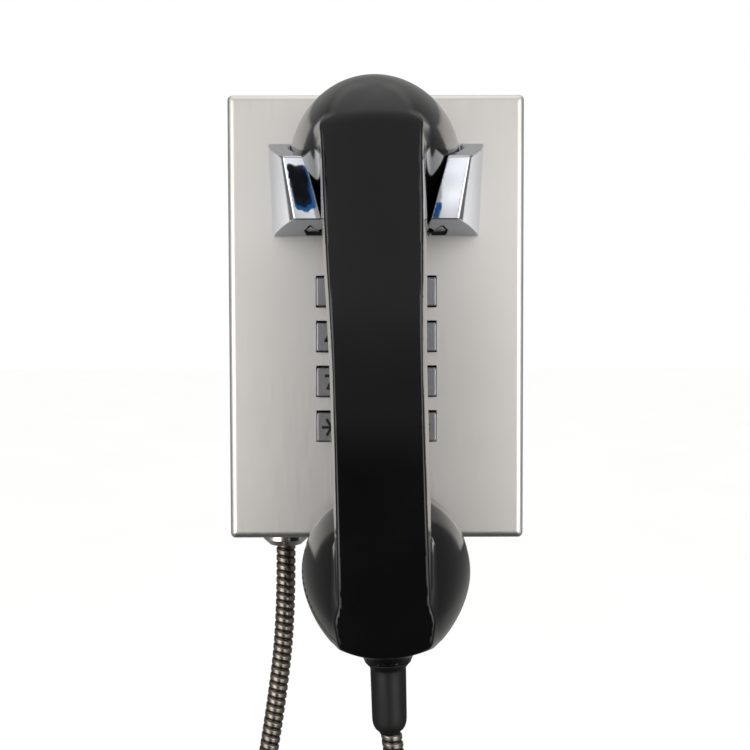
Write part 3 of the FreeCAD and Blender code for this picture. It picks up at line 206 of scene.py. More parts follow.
def moulded_look(name, colour, roughness, grain=1800.0, depth=0.00002):
    """Moulded plastic or rubber with a fine texture."""
    material, tree, shader = new_look(name, colour, roughness)
    texture = noise(tree, grain, 3.0)
    patches = noise(tree, 60.0, 2.0)
    lighter = [channel * 1.35 + 0.001 for channel in colour]
    tree.links.new(two_colours(tree, patches, colour, lighter), shader.inputs["Base Color"])
    tree.links.new(spread(tree, patches, roughness * 0.85, roughness * 1.15), shader.inputs["Roughness"])
    add_bump(tree, shader, texture, depth, 0.5)
    return material


def handset_look(name):
    """Polished black moulding with faint handling haze."""
    material, tree, shader = new_look(name, (0.0045, 0.0045, 0.0048), 0.12)
    haze = noise(tree, 45.0, 4.0)
    tree.links.new(spread(tree, haze, 0.09, 0.17), shader.inputs["Roughness"])
    tree.links.new(two_colours(tree, haze, (0.0040, 0.0040, 0.0043), (0.0058, 0.0058, 0.0062)),
                   shader.inputs["Base Color"])
    add_bump(tree, shader, noise(tree, 330.0, 1.0), 0.00001, 0.25)
    return material


def armour_look(name):
    """Stainless strip, with painted shade darkening the grooves between its turns."""
    material, tree, shader = new_look(name, (0.46, 0.43, 0.39), 0.28, 1.0)
    groove_shade = tree.nodes.new("ShaderNodeAttribute")
    groove_shade.attribute_name = "groove_shade"
    # Painted shade: the colour goes dark in the grooves between the strip's turns.
    colour = two_colours(tree, groove_shade.outputs["Fac"], (0.31, 0.275, 0.235), (0.06, 0.05, 0.042))
    tree.links.new(colour, shader.inputs["Base Color"])
    smear = noise(tree, 900.0, 3.0)
    tree.links.new(spread(tree, smear, 0.2, 0.42), shader.inputs["Roughness"])
    return material


def board_look(name):
    """Green circuit board with lighter copper tracks under the mask."""
    material, tree, shader = new_look(name, (0.02, 0.13, 0.05), 0.35)
    tracks = tree.nodes.new("ShaderNodeTexBrick")
    tracks.inputs["Scale"].default_value = 300.0
    tracks.inputs["Color1"].default_value = (0.015, 0.11, 0.045, 1.0)
    tracks.inputs["Color2"].default_value = (0.02, 0.14, 0.06, 1.0)
    tracks.inputs["Mortar"].default_value = (0.05, 0.24, 0.1, 1.0)
    turned = tree.nodes.new("ShaderNodeMapping")
    turned.inputs["Rotation"].default_value = (math.radians(90.0), 0.0, 0.0)
    tree.links.new(stretched_place(tree), turned.inputs["Vector"])
    tree.links.new(turned.outputs["Vector"], tracks.inputs["Vector"])
    tree.links.new(tracks.outputs["Color"], shader.inputs["Base Color"])
    add_bump(tree, shader, tracks.outputs["Fac"], 0.00003, 0.4)
    return material


def foam_look(name):
    """Open-celled foam."""
    material, tree, shader = new_look(name, (0.03, 0.03, 0.03), 0.95)
    cells = tree.nodes.new("ShaderNodeTexVoronoi")
    cells.inputs["Scale"].default_value = 1400.0
    tree.links.new(stretched_place(tree), cells.inputs["Vector"])
    add_bump(tree, shader, cells.outputs["Distance"], 0.0003, 0.8)
    return material


# Share of a key's depth over which painted shade darkens its sides below the cover, and the colour of
# that painted shade.
KEY_FADE = 0.05
KEY_PAINTED_SHADE_COLOUR = (0.008, 0.008, 0.008)


def key_look(name):
    """Satin cast keys, with painted shade where they go down into the cover."""
    face = (0.38, 0.38, 0.39)
    material, tree, shader = new_look(name, face, 0.36, 1.0)
    clouds = noise(tree, 700.0, 3.0)
    lighter = [channel * 1.12 for channel in face]
    low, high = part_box("key_1")
    sunk = (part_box("front_cover")[0].y - low.y) / (high.y - low.y)
    place = tree.nodes.new("ShaderNodeTexCoord")
    parts = tree.nodes.new("ShaderNodeSeparateXYZ")
    tree.links.new(place.outputs["Generated"], parts.inputs["Vector"])
    # Painted shade: below the cover's face the keys' colour fades to near black, in place of the shade in
    # the gap round each key.
    depth = spread(tree, parts.outputs["Y"], 0.0, 1.0, sunk, sunk + KEY_FADE)
    colour = two_colours(tree, depth, face, KEY_PAINTED_SHADE_COLOUR)
    tree.links.new(two_colours(tree, clouds, face, lighter), colour.node.inputs["A"])
    tree.links.new(colour, shader.inputs["Base Color"])
    tree.links.new(spread(tree, clouds, 0.3, 0.42), shader.inputs["Roughness"])
    add_bump(tree, shader, noise(tree, 5200.0, 2.0), 0.000015, 0.5, 0.0005)
    return material


LOOKS = {
    "cover_steel": brushed_look("cover_steel", (0.90, 0.875, 0.835), 0.44),
    "plate_steel": brushed_look("plate_steel", (0.66, 0.65, 0.63), 0.4),
    "fixing_steel": plated_look("fixing_steel", (0.62, 0.61, 0.6), 0.28),
    "plated_steel": plated_look("plated_steel", (0.6, 0.62, 0.64), 0.32),
    "spring_steel": plated_look("spring_steel", (0.34, 0.35, 0.37), 0.35),
    "seal_rubber": moulded_look("seal_rubber", (0.018, 0.018, 0.018), 0.7),
    "key_metal": key_look("key_metal"),
    "black_moulding": moulded_look("black_moulding", (0.02, 0.02, 0.022), 0.5),
    "silicone": moulded_look("silicone", (0.42, 0.42, 0.4), 0.55),
    "circuit_board": board_look("circuit_board"),
    "cradle_chrome": chrome_look("cradle_chrome", (0.64, 0.65, 0.675)),
    "hook_metal": plated_look("hook_metal", (0.35, 0.35, 0.36), 0.25),
    "transformer_iron": plated_look("transformer_iron", (0.2, 0.16, 0.1), 0.55),
    "terminal_moulding": moulded_look("terminal_moulding", (0.04, 0.22, 0.09), 0.4),
    "capacitor_sleeve": moulded_look("capacitor_sleeve", (0.02, 0.025, 0.08), 0.3),
    "gland_metal": plated_look("gland_metal", (0.74, 0.72, 0.68), 0.2),
    "brass_fittings": plated_look("brass_fittings", (0.75, 0.55, 0.24), 0.3),
    "cord_armour": armour_look("cord_armour"),
    "handset_black": handset_look("handset_black"),
    "capsule_metal": plated_look("capsule_metal", (0.62, 0.62, 0.62), 0.3),
    "baffle_foam": foam_look("baffle_foam"),
    "boot_rubber": moulded_look("boot_rubber", (0.004, 0.004, 0.004), 0.55, 2400.0, 0.000012),
}
LEGEND_LOOK = moulded_look("legend_paint", (0.006, 0.006, 0.007), 0.45)


def dress_nodes():
    """Give every CAD node the look of its material slot."""
    for row in frame["record"]["subparts"]:
        node = frame["nodes"][row["node"]]
        for place in node.material_slots:
            place.material = LOOKS[row["material_slot"]]


# ---------------------------------------------------------------- meshes from distance fields

def meet(first, second, radius):
    """Where two fields are both inside, with a rounded edge."""
    over = np.hypot(np.maximum(first + radius, 0.0), np.maximum(second + radius, 0.0))
    return np.minimum(-radius, np.maximum(first, second)) + over


def join(first, second, radius):
    """Where either field is inside, with a filleted corner."""
    return -meet(-first, -second, radius)


def ball(places, centre, radius):
    """A sphere."""
    return np.linalg.norm(places - np.array(centre), axis=1) - radius


def disc(places, centre, radius, low, high, edge):
    """A cylinder about a line along Y, from low to high, with rounded rims."""
    x, y, z = (places - np.array(centre)).T
    side = np.hypot(x, z) - radius
    return meet(side, np.maximum(low - y, y - high), edge)


def gradient(field, places, reach=0.02):
    """Direction in which a field grows."""
    parts = []
    for axis in range(3):
        shift = np.zeros(3)
        shift[axis] = reach
        parts.append((field(places + shift) - field(places - shift)) / (2.0 * reach))
    return np.stack(parts, axis=1)


def net_points(values, cells):
    """Mean crossing point of each mixed cell, in steps from the cell's lowest corner."""
    total = np.zeros((len(cells), 3))
    hits = np.zeros(len(cells))
    corners = [(a, b, c) for a in (0, 1) for b in (0, 1) for c in (0, 1)]
    for corner in corners:
        near = values[tuple((cells + corner).T)]
        for axis in range(3):
            if corner[axis]:
                continue
            step = np.eye(3, dtype=int)[axis]
            far = values[tuple((cells + corner + step).T)]
            crossed = (near < 0.0) != (far < 0.0)
            share = np.where(crossed, near / np.where(crossed, near - far, 1.0), 0.0)
            total += crossed[:, None] * (np.array(corner) + share[:, None] * step)
            hits += crossed
    return total / hits[:, None]


def net_faces(inside, index):
    """One quad round every grid edge that crosses the surface."""
    quads = []
    count = np.array(inside.shape) - 1
    for axis in range(3):
        across, up = (axis + 1) % 3, (axis + 2) % 3
        low = np.take(inside, range(count[axis]), axis)
        high = np.take(inside, range(1, count[axis] + 1), axis)
        edges = np.argwhere(low != high)
        leaves = low[tuple(edges.T)]
        quad = []
        for back, down in ((0, 0), (1, 0), (1, 1), (0, 1)):
            cell = edges.copy()
            cell[:, across] -= back
            cell[:, up] -= down
            quad.append(index[tuple(cell.T)])
        quad = np.stack(quad, axis=1)
        quad[~leaves] = quad[~leaves][:, ::-1]
        quads.append(quad)
    return np.concatenate(quads)


def mesh_on_field(field, low, high, step):
    """Points, quads and normals of a closed mesh on a field's surface."""
    axes = [np.arange(a - 2.0 * step, b + 3.0 * step, step) for a, b in zip(low, high)]
    grid = np.stack(np.meshgrid(*axes, indexing="ij"), axis=-1)
    values = np.stack([field(slab.reshape(-1, 3)).reshape(slab.shape[:2]) for slab in grid])
    inside = values < 0.0
    count = np.array(values.shape) - 1
    held = np.zeros(count, dtype=int)
    for a in (0, 1):
        for b in (0, 1):
            for c in (0, 1):
                held += inside[a:a + count[0], b:b + count[1], c:c + count[2]]
    mixed = (held > 0) & (held < 8)
    cells = np.argwhere(mixed)
    index = np.full(count, -1)
    index[mixed] = np.arange(len(cells))
    start = np.array([line[0] for line in axes])
    points = start + (cells + net_points(values, cells)) * step
    for _ in range(4):
        slope = gradient(field, points)
        fall = field(points) / np.maximum((slope ** 2).sum(axis=1), 0.05)
        points -= np.clip(fall, -step, step)[:, None] * slope
    slope = gradient(field, points)
    normals = slope / np.linalg.norm(slope, axis=1)[:, None]
    return points, net_faces(inside, index), normals


def add_piece(name, points, faces, look, normals=None):
    """A smooth mesh object from points in metres."""
    mesh = bpy.data.meshes.new(name)
    mesh.from_pydata(points.tolist(), [], faces.tolist() if hasattr(faces, "tolist") else faces)
    mesh.polygons.foreach_set("use_smooth", [True] * len(mesh.polygons))
    mesh.materials.append(look)
    mesh.update()
    if normals is not None:
        mesh.normals_split_custom_set_from_vertices(normals.tolist())
    piece = bpy.data.objects.new(name, mesh)
    bpy.context.scene.collection.objects.link(piece)
    return piece


def middle_of(node):
    """The middle of a node's box."""
    low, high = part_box(node)
    return (low + high) / 2.0


# ---------------------------------------------------------------- handset

# How the handset hangs in the cradle, in degrees.
LEAN = 1.4
TURN = 1.5
MOUTH_TILT = 7.0

# Everything below is in millimetres, in the handset's own axes: the origin is the middle of the ear
# cup, the front faces -Y and the bar runs down along -Z.
GASKET_SETBACK = 3.25
BAFFLE_SETBACK = 3.0

# The cups. Each nose is deeper towards the handset's end than towards the bar.
EAR_RADIUS = 33.0
MOUTH_RADIUS = 33.0
RIM_PLANE = 7.0
RIM_EDGE = 0.3
NOSE_DEPTHS = (48.0, 60.0)
NOSE_CHANGE = (-14.0, 2.0)
NOSE_POWER = 1.2
LEAST_STEEPNESS = 0.015
CUP_WALL = 4.5
CUP_NECK_WALL = 3.0
CUP_NECK = (1.5, 20.0)
CUP_NECK_EDGE = 0.2
CUP_ROOM_BACK = 3.0
FILLET = 2.0

# The arched ends.
EAR_CAP_DEPTH = 50.5
EAR_CAP_FOOT = -13.9
EAR_CAP_RISE = 48.4
EAR_CAP_CURVE = 0.844
EAR_CAP_RADII = (34.5, 57.8)
EAR_CAP_EDGE = 1.6
LOW_RADIUS = 35.3
MOUTH_CAP_SLOPE = 0.33
MOUTH_CAP_Y = -48.0
MOUTH_CAP_EDGE = 1.5

# The bar.
BAR_TOP = 5.2
BAR_LOW = -178.7
BAR_TOP_SPARE = 1.5
BAR_LOW_SPARE = 12.0
BAR_FRONT_Y = -51.0
BAR_HALF = 15.25
BAR_FLARE = 1.3
BAR_FLARE_RANGE = (-85.0, -20.0)
BAR_CORNER_FLARE = 0.2
BAR_CORNER_RANGE = (-10.0, 4.0)
BAR_EDGE = 0.8
BAR_BACK_EDGE = 2.5
BAR_END_EDGE = 3.5
CROWN_RADIUS = 330.0
SIDE_DEPTH = 12.0
SIDE_BULGE = 1.8
SIDE_DRAFT = 0.03
# Brings the bulging sides' field near to a true distance.
SIDE_SCALE = 0.97

# The collar above the boot, and the hole that the cord comes in through.
BOOT_Y = -8.0
COLLAR_RADIUS = 9.3
COLLAR_LOW = -192.2
COLLAR_HIGH = -176.0
COLLAR_EDGE = 0.5
COLLAR_FILLET = 3.0
CORD_HOLE = 4.1
CORD_HOLE_TOP = -170.0

HANDSET_LOW = (-34.0, -54.0, -193.0)
HANDSET_HIGH = (34.0, 8.0, 34.0)
HANDSET_STEP = 0.8

hung = Matrix.Rotation(math.radians(-TURN), 3, "Z") @ Matrix.Rotation(math.radians(-LEAN), 3, "Y")
ear_centre = middle_of("ear_gasket") / MM - hung @ Vector((0.0, GASKET_SETBACK, 0.0))
mouth_turn = Matrix.Rotation(math.radians(MOUTH_TILT), 3, "X")
mouth_centre = hung.inverted() @ (middle_of("mouth_baffle") / MM - ear_centre)
mouth_centre = mouth_centre - mouth_turn @ Vector((0.0, BAFFLE_SETBACK, 0.0))


def circle_through(first, second, third):
    """Centre and radius of the circle through three points of a plane."""
    (ax, ay), (bx, by), (cx, cy) = first, second, third
    d = 2.0 * (ax * (by - cy) + bx * (cy - ay) + cx * (ay - by))
    a, b, c = ax * ax + ay * ay, bx * bx + by * by, cx * cx + cy * cy
    x = (a * (by - cy) + b * (cy - ay) + c * (ay - by)) / d
    y = (a * (cx - bx) + b * (ax - cx) + c * (bx - ax)) / d
    return x, y, math.hypot(ax - x, ay - y)


# Arcs seen from the side, as (y, z) and radius: the bar's front face and its hollow back.
BAR_FRONT = circle_through((-50.5, BAR_TOP), (-52.2, -80.0), (-48.0, BAR_LOW))
BAR_INNER = circle_through((-25.0, -18.0), (-27.0, -78.0), (-25.0, -138.0))


def smooth_step(value, start, end):
    """0 before the start, 1 after the end, and an S-curve between them."""
    share = np.clip((value - start) / (end - start), 0.0, 1.0)
    return share * share * (3.0 - 2.0 * share)


def bar_half_width(z):
    """Half the width of the bar's front face, which flares towards the ear."""
    flare = BAR_FLARE * smooth_step(z, *BAR_FLARE_RANGE)
    return BAR_HALF + flare + BAR_CORNER_FLARE * smooth_step(z, *BAR_CORNER_RANGE)


def bar_side(x, y, z):
    """The bar's sides bulge away from the front face and then run straight back."""
    depth = y - BAR_FRONT_Y
    curved = np.clip(depth / SIDE_DEPTH, 0.0, 1.0)
    bulge = SIDE_BULGE * (1.0 - (1.0 - curved) ** 2) + SIDE_DRAFT * np.maximum(depth - SIDE_DEPTH, 0.0)
    return (np.abs(x) - bar_half_width(z) - bulge) * SIDE_SCALE


def bar_field(places):
    """The bulging sides and the hollow back of the arched bar between the cups."""
    x, y, z = places.T
    inner = BAR_INNER[2] - np.hypot(y - BAR_INNER[0], z - BAR_INNER[1])
    body = meet(bar_side(x, y, z), inner, BAR_BACK_EDGE)
    body = meet(body, z - BAR_TOP - BAR_TOP_SPARE, BAR_END_EDGE)
    return np.maximum(body, BAR_LOW - BAR_LOW_SPARE - z)


def front_field(places):
    """The long arched front face, slightly crowned across."""
    x, y, z = places.T
    crown = x * x / (2.0 * CROWN_RADIUS)
    return np.hypot(y - crown - BAR_FRONT[0], z - BAR_FRONT[1]) - BAR_FRONT[2]


def ear_cap_field(places):
    """The arched top end: it swells back from the front face to the ear cup's rim."""
    x, y, z = places.T
    ahead = np.clip(-y / EAR_CAP_DEPTH, 0.0, 1.0)
    bend = np.sqrt(1.0 - EAR_CAP_CURVE * ahead ** 2)
    top = EAR_CAP_FOOT + EAR_CAP_RISE * bend
    radius = EAR_CAP_RADII[0] + (EAR_CAP_RADII[1] - EAR_CAP_RADII[0]) * ahead
    steep = EAR_CAP_RISE * EAR_CAP_CURVE * ahead / (bend * EAR_CAP_DEPTH)
    return (np.hypot(x, np.maximum(z - top + radius, 0.0)) - radius) / np.hypot(1.0, steep)


def mouth_cap_field(places):
    """The arched low end: part of a cone that widens towards the mouth cup's rim."""
    x, y, z = places.T
    below = np.minimum(z - BAR_LOW - LOW_RADIUS, 0.0)
    radius = LOW_RADIUS + MOUTH_CAP_SLOPE * (y - MOUTH_CAP_Y)
    return (np.hypot(x, below) - radius) / math.hypot(1.0, MOUTH_CAP_SLOPE)


def cup_swell(x, y, z, radius, depth):
    """A deep rounded nose that rises from a rim of a given radius to a given depth."""
    out = np.hypot(x, z)
    ahead = np.maximum(-y, 0.0)
    level = (out / radius) ** 2 + (ahead / depth) ** NOSE_POWER - 1.0
    steep_ahead = NOSE_POWER * ahead ** (NOSE_POWER - 1.0) / depth ** NOSE_POWER
    steep = np.hypot(2.0 * out / radius ** 2, steep_ahead)
    return level / np.maximum(steep, LEAST_STEEPNESS)


def cup_field(places, rim_radius, deep_way):
    """A cup: its open rim behind, and a nose that is deepest towards the end of the handset."""
    x, y, z = places.T
    shallow, deep = NOSE_DEPTHS
    depth = shallow + (deep - shallow) * smooth_step(deep_way * z, *NOSE_CHANGE)
    return meet(cup_swell(x, y, z, rim_radius, depth), y - RIM_PLANE, RIM_EDGE)


def cup_room(places, rim_radius):
    """The hollow of a cup."""
    round_part = ball(places, (0.0, 0.0, 0.0), rim_radius - CUP_WALL)
    neck = disc(places, (0.0, 0.0, 0.0), rim_radius - CUP_NECK_WALL, *CUP_NECK, CUP_NECK_EDGE)
    return np.minimum(np.maximum(round_part, places[:, 1] - CUP_ROOM_BACK), neck)


def handset_field(places):
    """The whole moulding: two hollow cups, the bar and the collar above the boot."""
    in_mouth = (places - np.array(mouth_centre)) @ np.array(mouth_turn)
    shape = join(cup_field(places, EAR_RADIUS, 1.0), bar_field(places), FILLET)
    shape = join(shape, cup_field(in_mouth, MOUTH_RADIUS, -1.0), FILLET)
    shape = meet(shape, front_field(places), BAR_EDGE)
    shape = meet(shape, ear_cap_field(places), EAR_CAP_EDGE)
    shape = meet(shape, mouth_cap_field(places), MOUTH_CAP_EDGE)
    x, y, z = places.T
    from_boot = np.hypot(x, y - BOOT_Y)
    collar = meet(from_boot - COLLAR_RADIUS, np.maximum(COLLAR_LOW - z, z - COLLAR_HIGH), COLLAR_EDGE)
    shape = join(shape, collar, COLLAR_FILLET)
    rooms = np.minimum(cup_room(places, EAR_RADIUS), cup_room(in_mouth, MOUTH_RADIUS))
    channel = np.maximum(from_boot - CORD_HOLE, z - CORD_HOLE_TOP)
    return np.maximum(shape, -np.minimum(rooms, channel))


def handset_to_metres(points):
    """Points in the handset's own axes, placed in the frame."""
    return (points @ np.array(hung).T + np.array(ear_centre)) * MM


def make_handset_shell():
    """The moulding of the handset, in one piece with both cups."""
    step = HANDSET_STEP
    points, faces, normals = mesh_on_field(handset_field, HANDSET_LOW, HANDSET_HIGH, step)
    shell = add_piece("handset_moulding", handset_to_metres(points), faces, LOOKS["handset_black"],
                      normals @ np.array(hung).T)
    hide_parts("handset_shell")
    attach(shell, "handset")


# ---------------------------------------------------------------- cradle

# Sizes in millimetres, in the frame. Slopes are millimetres per millimetre.
CRADLE_BACK = -50.0
CRADLE_FRONT = -89.5
CRADLE_LOW = 33.0
CRADLE_TOP = 70.0
CRADLE_TOP_SLOPE = 0.316
CRADLE_UNDER_SLOPE = 1.7 / 40.0
CRADLE_BACK_HALF = 41.6
CRADLE_FRONT_HALF = 30.0
CRADLE_SIDE_RADIUS = 235.0
CRADLE_FRONT_EDGE = 0.9
CRADLE_TOP_EDGE = 0.7
CRADLE_UNDER_EDGE = 0.35
CRADLE_BACK_EDGE = 0.1
CRADLE_INNER_EDGE = 0.5

# The sides lean out towards the top, more at the front than at the back.
DRAFT_SLOPE_BACK = 1.2 / 24.0
DRAFT_SLOPE_FRONT = 4.2 / 24.0
DRAFT_FOOT = 34.0

# The opening between the arms, and the pocket behind it for the ear cup.
OPENING_BACK = -64.0
OPENING_LOW = 31.0
OPENING_HALF = 18.6
OPENING_SLOPE = 10.7 / 40.0
POCKET_CENTRE = (0.0, -64.0, 59.9)
POCKET_BACK = -52.5
POCKET_CLEARANCE = 1.1
POCKET_DEEPER = 1.5

# The notches, whose slanting sides meet in a point at the front.
NOTCH_INNER = 22.0
NOTCH_OUTER = 27.8
NOTCH_MIDDLE = 24.9
NOTCH_TIP = -77.0
NOTCH_INNER_SLOPE = 4.48
NOTCH_OUTER_SLOPE = 5.86
NOTCH_TOP = 50.0
NOTCH_BACK = -52.0

# Bring the fields of the sloping faces near to a true distance.
CRADLE_TOP_SCALE = 0.953
NOTCH_INNER_SCALE = 0.218
NOTCH_OUTER_SCALE = 0.168

CRADLE_STEP = 0.55


def cradle_half_curve():
    """Centre and radius of the bulging side seen from above."""
    back = np.array([CRADLE_BACK_HALF, CRADLE_BACK])
    front = np.array([CRADLE_FRONT_HALF, CRADLE_FRONT])
    radius = CRADLE_SIDE_RADIUS
    chord = front - back
    length = np.hypot(*chord)
    inward = np.array([chord[1], -chord[0]]) / length
    centre = (back + front) / 2.0 + inward * math.sqrt(radius ** 2 - length ** 2 / 4.0)
    return centre, radius


def cradle_field(places):
    """The chromed casting: two arms round the ear cup, on a thin floor against the cover."""
    x, y, z = places.T
    half = np.abs(x)
    (centre_x, centre_y), radius = cradle_half_curve()
    forward = np.clip((CRADLE_BACK - y) / (CRADLE_BACK - CRADLE_FRONT), 0.0, 1.0)
    draft_slope = DRAFT_SLOPE_BACK + (DRAFT_SLOPE_FRONT - DRAFT_SLOPE_BACK) * forward
    draft = draft_slope * (z - DRAFT_FOOT)
    side = np.hypot(half - draft - centre_x, y - centre_y) - radius
    over = (z - CRADLE_TOP - (y - CRADLE_BACK) * CRADLE_TOP_SLOPE) * CRADLE_TOP_SCALE
    under = CRADLE_LOW - z - (y - CRADLE_BACK) * CRADLE_UNDER_SLOPE
    shape = meet(side, CRADLE_FRONT - y, CRADLE_FRONT_EDGE)
    shape = meet(shape, over, CRADLE_TOP_EDGE)
    shape = meet(shape, under, CRADLE_UNDER_EDGE)
    shape = meet(shape, y - CRADLE_BACK, CRADLE_BACK_EDGE)
    opening_half = OPENING_HALF + OPENING_SLOPE * (z - OPENING_LOW)
    opening = meet(half - opening_half, y - OPENING_BACK, CRADLE_INNER_EDGE)
    shape = meet(shape, -opening, CRADLE_INNER_EDGE)
    shape = meet(shape, -cradle_pocket(places), CRADLE_INNER_EDGE)
    return np.maximum(shape, -cradle_notch(half, y, z))


def cradle_pocket(places):
    """The hollow that the ear cup rests in."""
    x, y, z = (places - np.array(POCKET_CENTRE)).T
    radius = EAR_RADIUS + POCKET_CLEARANCE
    pocket = cup_swell(x, y, np.minimum(z, 0.0), radius, NOSE_DEPTHS[0] + POCKET_DEEPER)
    return np.maximum(pocket, places[:, 1] - POCKET_BACK)


def cradle_notch(half, y, z):
    """The pointed notch in each arm's underside that a prong of the hook moves in."""
    reach = NOTCH_TIP - y
    inner = (reach + (half - NOTCH_MIDDLE) * NOTCH_INNER_SLOPE) * NOTCH_INNER_SCALE
    outer = (reach - (half - NOTCH_MIDDLE) * NOTCH_OUTER_SLOPE) * NOTCH_OUTER_SCALE
    notch = np.maximum(inner, outer)
    for wall in (NOTCH_INNER - half, half - NOTCH_OUTER, z - NOTCH_TOP, y - NOTCH_BACK):
        notch = np.maximum(notch, wall)
    return notch


def takes_notch_shade(face):
    """Whether a face is one of a notch's upright walls, which are painted black as shade."""
    x, y, z = face.center / MM
    across = NOTCH_INNER - 0.4 < abs(x) < NOTCH_OUTER + 0.4
    along = NOTCH_TIP - 0.4 < y < NOTCH_BACK + 1.0
    return across and along and CRADLE_LOW < z < NOTCH_TOP + 1.0 and abs(face.normal.z) < 0.7


def make_cradle():
    """The chromed cradle, with painted shade in black inside its notches."""
    step = CRADLE_STEP
    low = (-43.0, -90.0, CRADLE_LOW)
    high = (43.0, CRADLE_BACK, CRADLE_TOP)
    points, faces, normals = mesh_on_field(cradle_field, low, high, step)
    cradle = add_piece("cradle_body", points * MM, faces, LOOKS["cradle_chrome"], normals)
    cradle.data.materials.append(LOOKS["black_moulding"])
    # Painted shade: the notch walls take the black material in place of the shadow inside the deep notch.
    for face in cradle.data.polygons:
        if takes_notch_shade(face):
            face.material_index = 1
    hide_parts("cradle_casting")
    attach(cradle, "housing")


# ---------------------------------------------------------------- cord

# Control points of the cord's centre line, in metres, from the gland to the boot.
CORD_ROUTE = [
    (-0.0388, -0.0320, -0.0955),
    (-0.0388, -0.0320, -0.1270),
    (-0.0430, -0.0335, -0.1640),
    (-0.0510, -0.0360, -0.2110),
    (-0.0610, -0.0390, -0.2600),
    (-0.0685, -0.0420, -0.3020),
    (-0.0680, -0.0445, -0.3350),
    (-0.0545, -0.0470, -0.3610),
    (-0.0290, -0.0500, -0.3760),
    (0.0010, -0.0535, -0.3735),
    (0.0250, -0.0570, -0.3550),
    (0.0365, -0.0605, -0.3260),
    (0.0350, -0.0645, -0.2890),
    (0.0250, -0.0680, -0.2470),
    (0.0105, -0.0710, -0.2030),
    (0.0050, -0.0720, -0.1588),
]
STRIP_PITCH = 0.0032
RINGS_PER_TURN = 12
RING_POINTS = 28
# The wound strip: its radius in the grooves, the height of its crest, where in a turn the crest lies,
# how broad and how square it is, and the share of its height over which the painted shade in the grooves
# fades out.
STRIP_RADIUS = 0.0036
STRIP_HEIGHT = 0.0005
CREST_PLACE = 0.42
CREST_WIDTH = 1.55
CREST_POWER = 0.8
GROOVE_SHADE_RANGE = (0.1, 0.75)


def cord_line():
    """The smooth centre line, read back from a NURBS spline through the route."""
    curve = bpy.data.curves.new("cord_line", "CURVE")
    curve.dimensions = "3D"
    curve.resolution_u = 32
    spline = curve.splines.new("NURBS")
    spline.points.add(len(CORD_ROUTE) - 1)
    for point, place in zip(spline.points, CORD_ROUTE):
        point.co = (*place, 1.0)
    spline.order_u = 3
    spline.use_endpoint_u = True
    holder = bpy.data.objects.new("cord_line", curve)
    bpy.context.scene.collection.objects.link(holder)
    mesh = bpy.data.meshes.new_from_object(holder)
    line = np.array([vertex.co for vertex in mesh.vertices])
    bpy.data.objects.remove(holder)
    return line


def even_points(line, spacing):
    """Points at even spacing along a line, and the directions there."""
    along = np.concatenate([[0.0], np.cumsum(np.linalg.norm(np.diff(line, axis=0), axis=1))])
    count = int(round(along[-1] / spacing)) + 1
    wanted = np.linspace(0.0, along[-1], count)
    points = np.stack([np.interp(wanted, along, line[:, axis]) for axis in range(3)], axis=1)
    ways = np.gradient(points, axis=0)
    ways /= np.linalg.norm(ways, axis=1)[:, None]
    return wanted, points, ways


def carried_frames(ways):
    """Two directions square to the line at each point, carried along without twist."""
    side = np.cross(ways[0], (0.0, 1.0, 0.0))
    side /= np.linalg.norm(side)
    sides = []
    for way in ways:
        side = side - way * side.dot(way)
        side /= np.linalg.norm(side)
        sides.append(side)
    sides = np.array(sides)
    return sides, np.cross(ways, sides)


def strip_profile(turn):
    """Radius of the interlocked strip and how strongly painted shade darkens its grooves, over one turn.
    """
    phase = turn % 1.0
    hump = 0.5 + 0.5 * np.cos(2.0 * math.pi * (phase - CREST_PLACE))
    crest = smooth_step(CREST_WIDTH * hump ** CREST_POWER, 0.0, 1.0)
    return STRIP_RADIUS + STRIP_HEIGHT * crest, 1.0 - smooth_step(crest, *GROOVE_SHADE_RANGE)


def make_cord():
    """Armoured cord: a strip wound into a tube, which shows as slanting ridges and grooves."""
    along, centres, ways = even_points(cord_line(), STRIP_PITCH / RINGS_PER_TURN)
    sides, ups = carried_frames(ways)
    angles = np.linspace(0.0, 2.0 * math.pi, RING_POINTS, endpoint=False)
    turns = along[:, None] / STRIP_PITCH + angles[None, :] / (2.0 * math.pi)
    radius, groove_shade = strip_profile(turns)
    cosines, sines = np.cos(angles)[None, :, None], np.sin(angles)[None, :, None]
    round_part = cosines * sides[:, None] + sines * ups[:, None]
    points = (centres[:, None] + radius[:, :, None] * round_part).reshape(-1, 3)
    faces = []
    for ring in range(len(centres) - 1):
        start, after = ring * RING_POINTS, (ring + 1) * RING_POINTS
        for place in range(RING_POINTS):
            beside = (place + 1) % RING_POINTS
            faces.append((start + place, start + beside, after + beside, after + place))
    last = (len(centres) - 1) * RING_POINTS
    faces.append(tuple(range(RING_POINTS - 1, -1, -1)))
    faces.append(tuple(range(last, last + RING_POINTS)))
    cord = add_piece("armoured_hose", points, faces, LOOKS["cord_armour"])
    # Painted shade in the grooves, handed to the cord's material as a point attribute.
    shade = cord.data.attributes.new("groove_shade", "FLOAT", "POINT")
    shade.data.foreach_set("value", groove_shade.reshape(-1).astype(np.float32))
    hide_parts("armoured_cord")
    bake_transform(cord)


# ---------------------------------------------------------------- boot

def turned_points(profile, count):
    """Rings of points about +Z from (radius, height) pairs."""
    angles = np.linspace(0.0, 2.0 * math.pi, count, endpoint=False)
    rings = [(radius * np.cos(angles), radius * np.sin(angles), np.full(count, height))
             for radius, height in profile]
    return np.concatenate([np.stack(ring, axis=1) for ring in rings])


def turned_faces(rings, count):
    """Quads between the rings, and a face over each end."""
    faces = []
    for ring in range(rings - 1):
        start, after = ring * count, (ring + 1) * count
        for place in range(count):
            beside = (place + 1) % count
            faces.append((start + place, start + beside, after + beside, after + place))
    faces.append(tuple(range(count - 1, -1, -1)))
    faces.append(tuple(range((rings - 1) * count, rings * count)))
    return faces


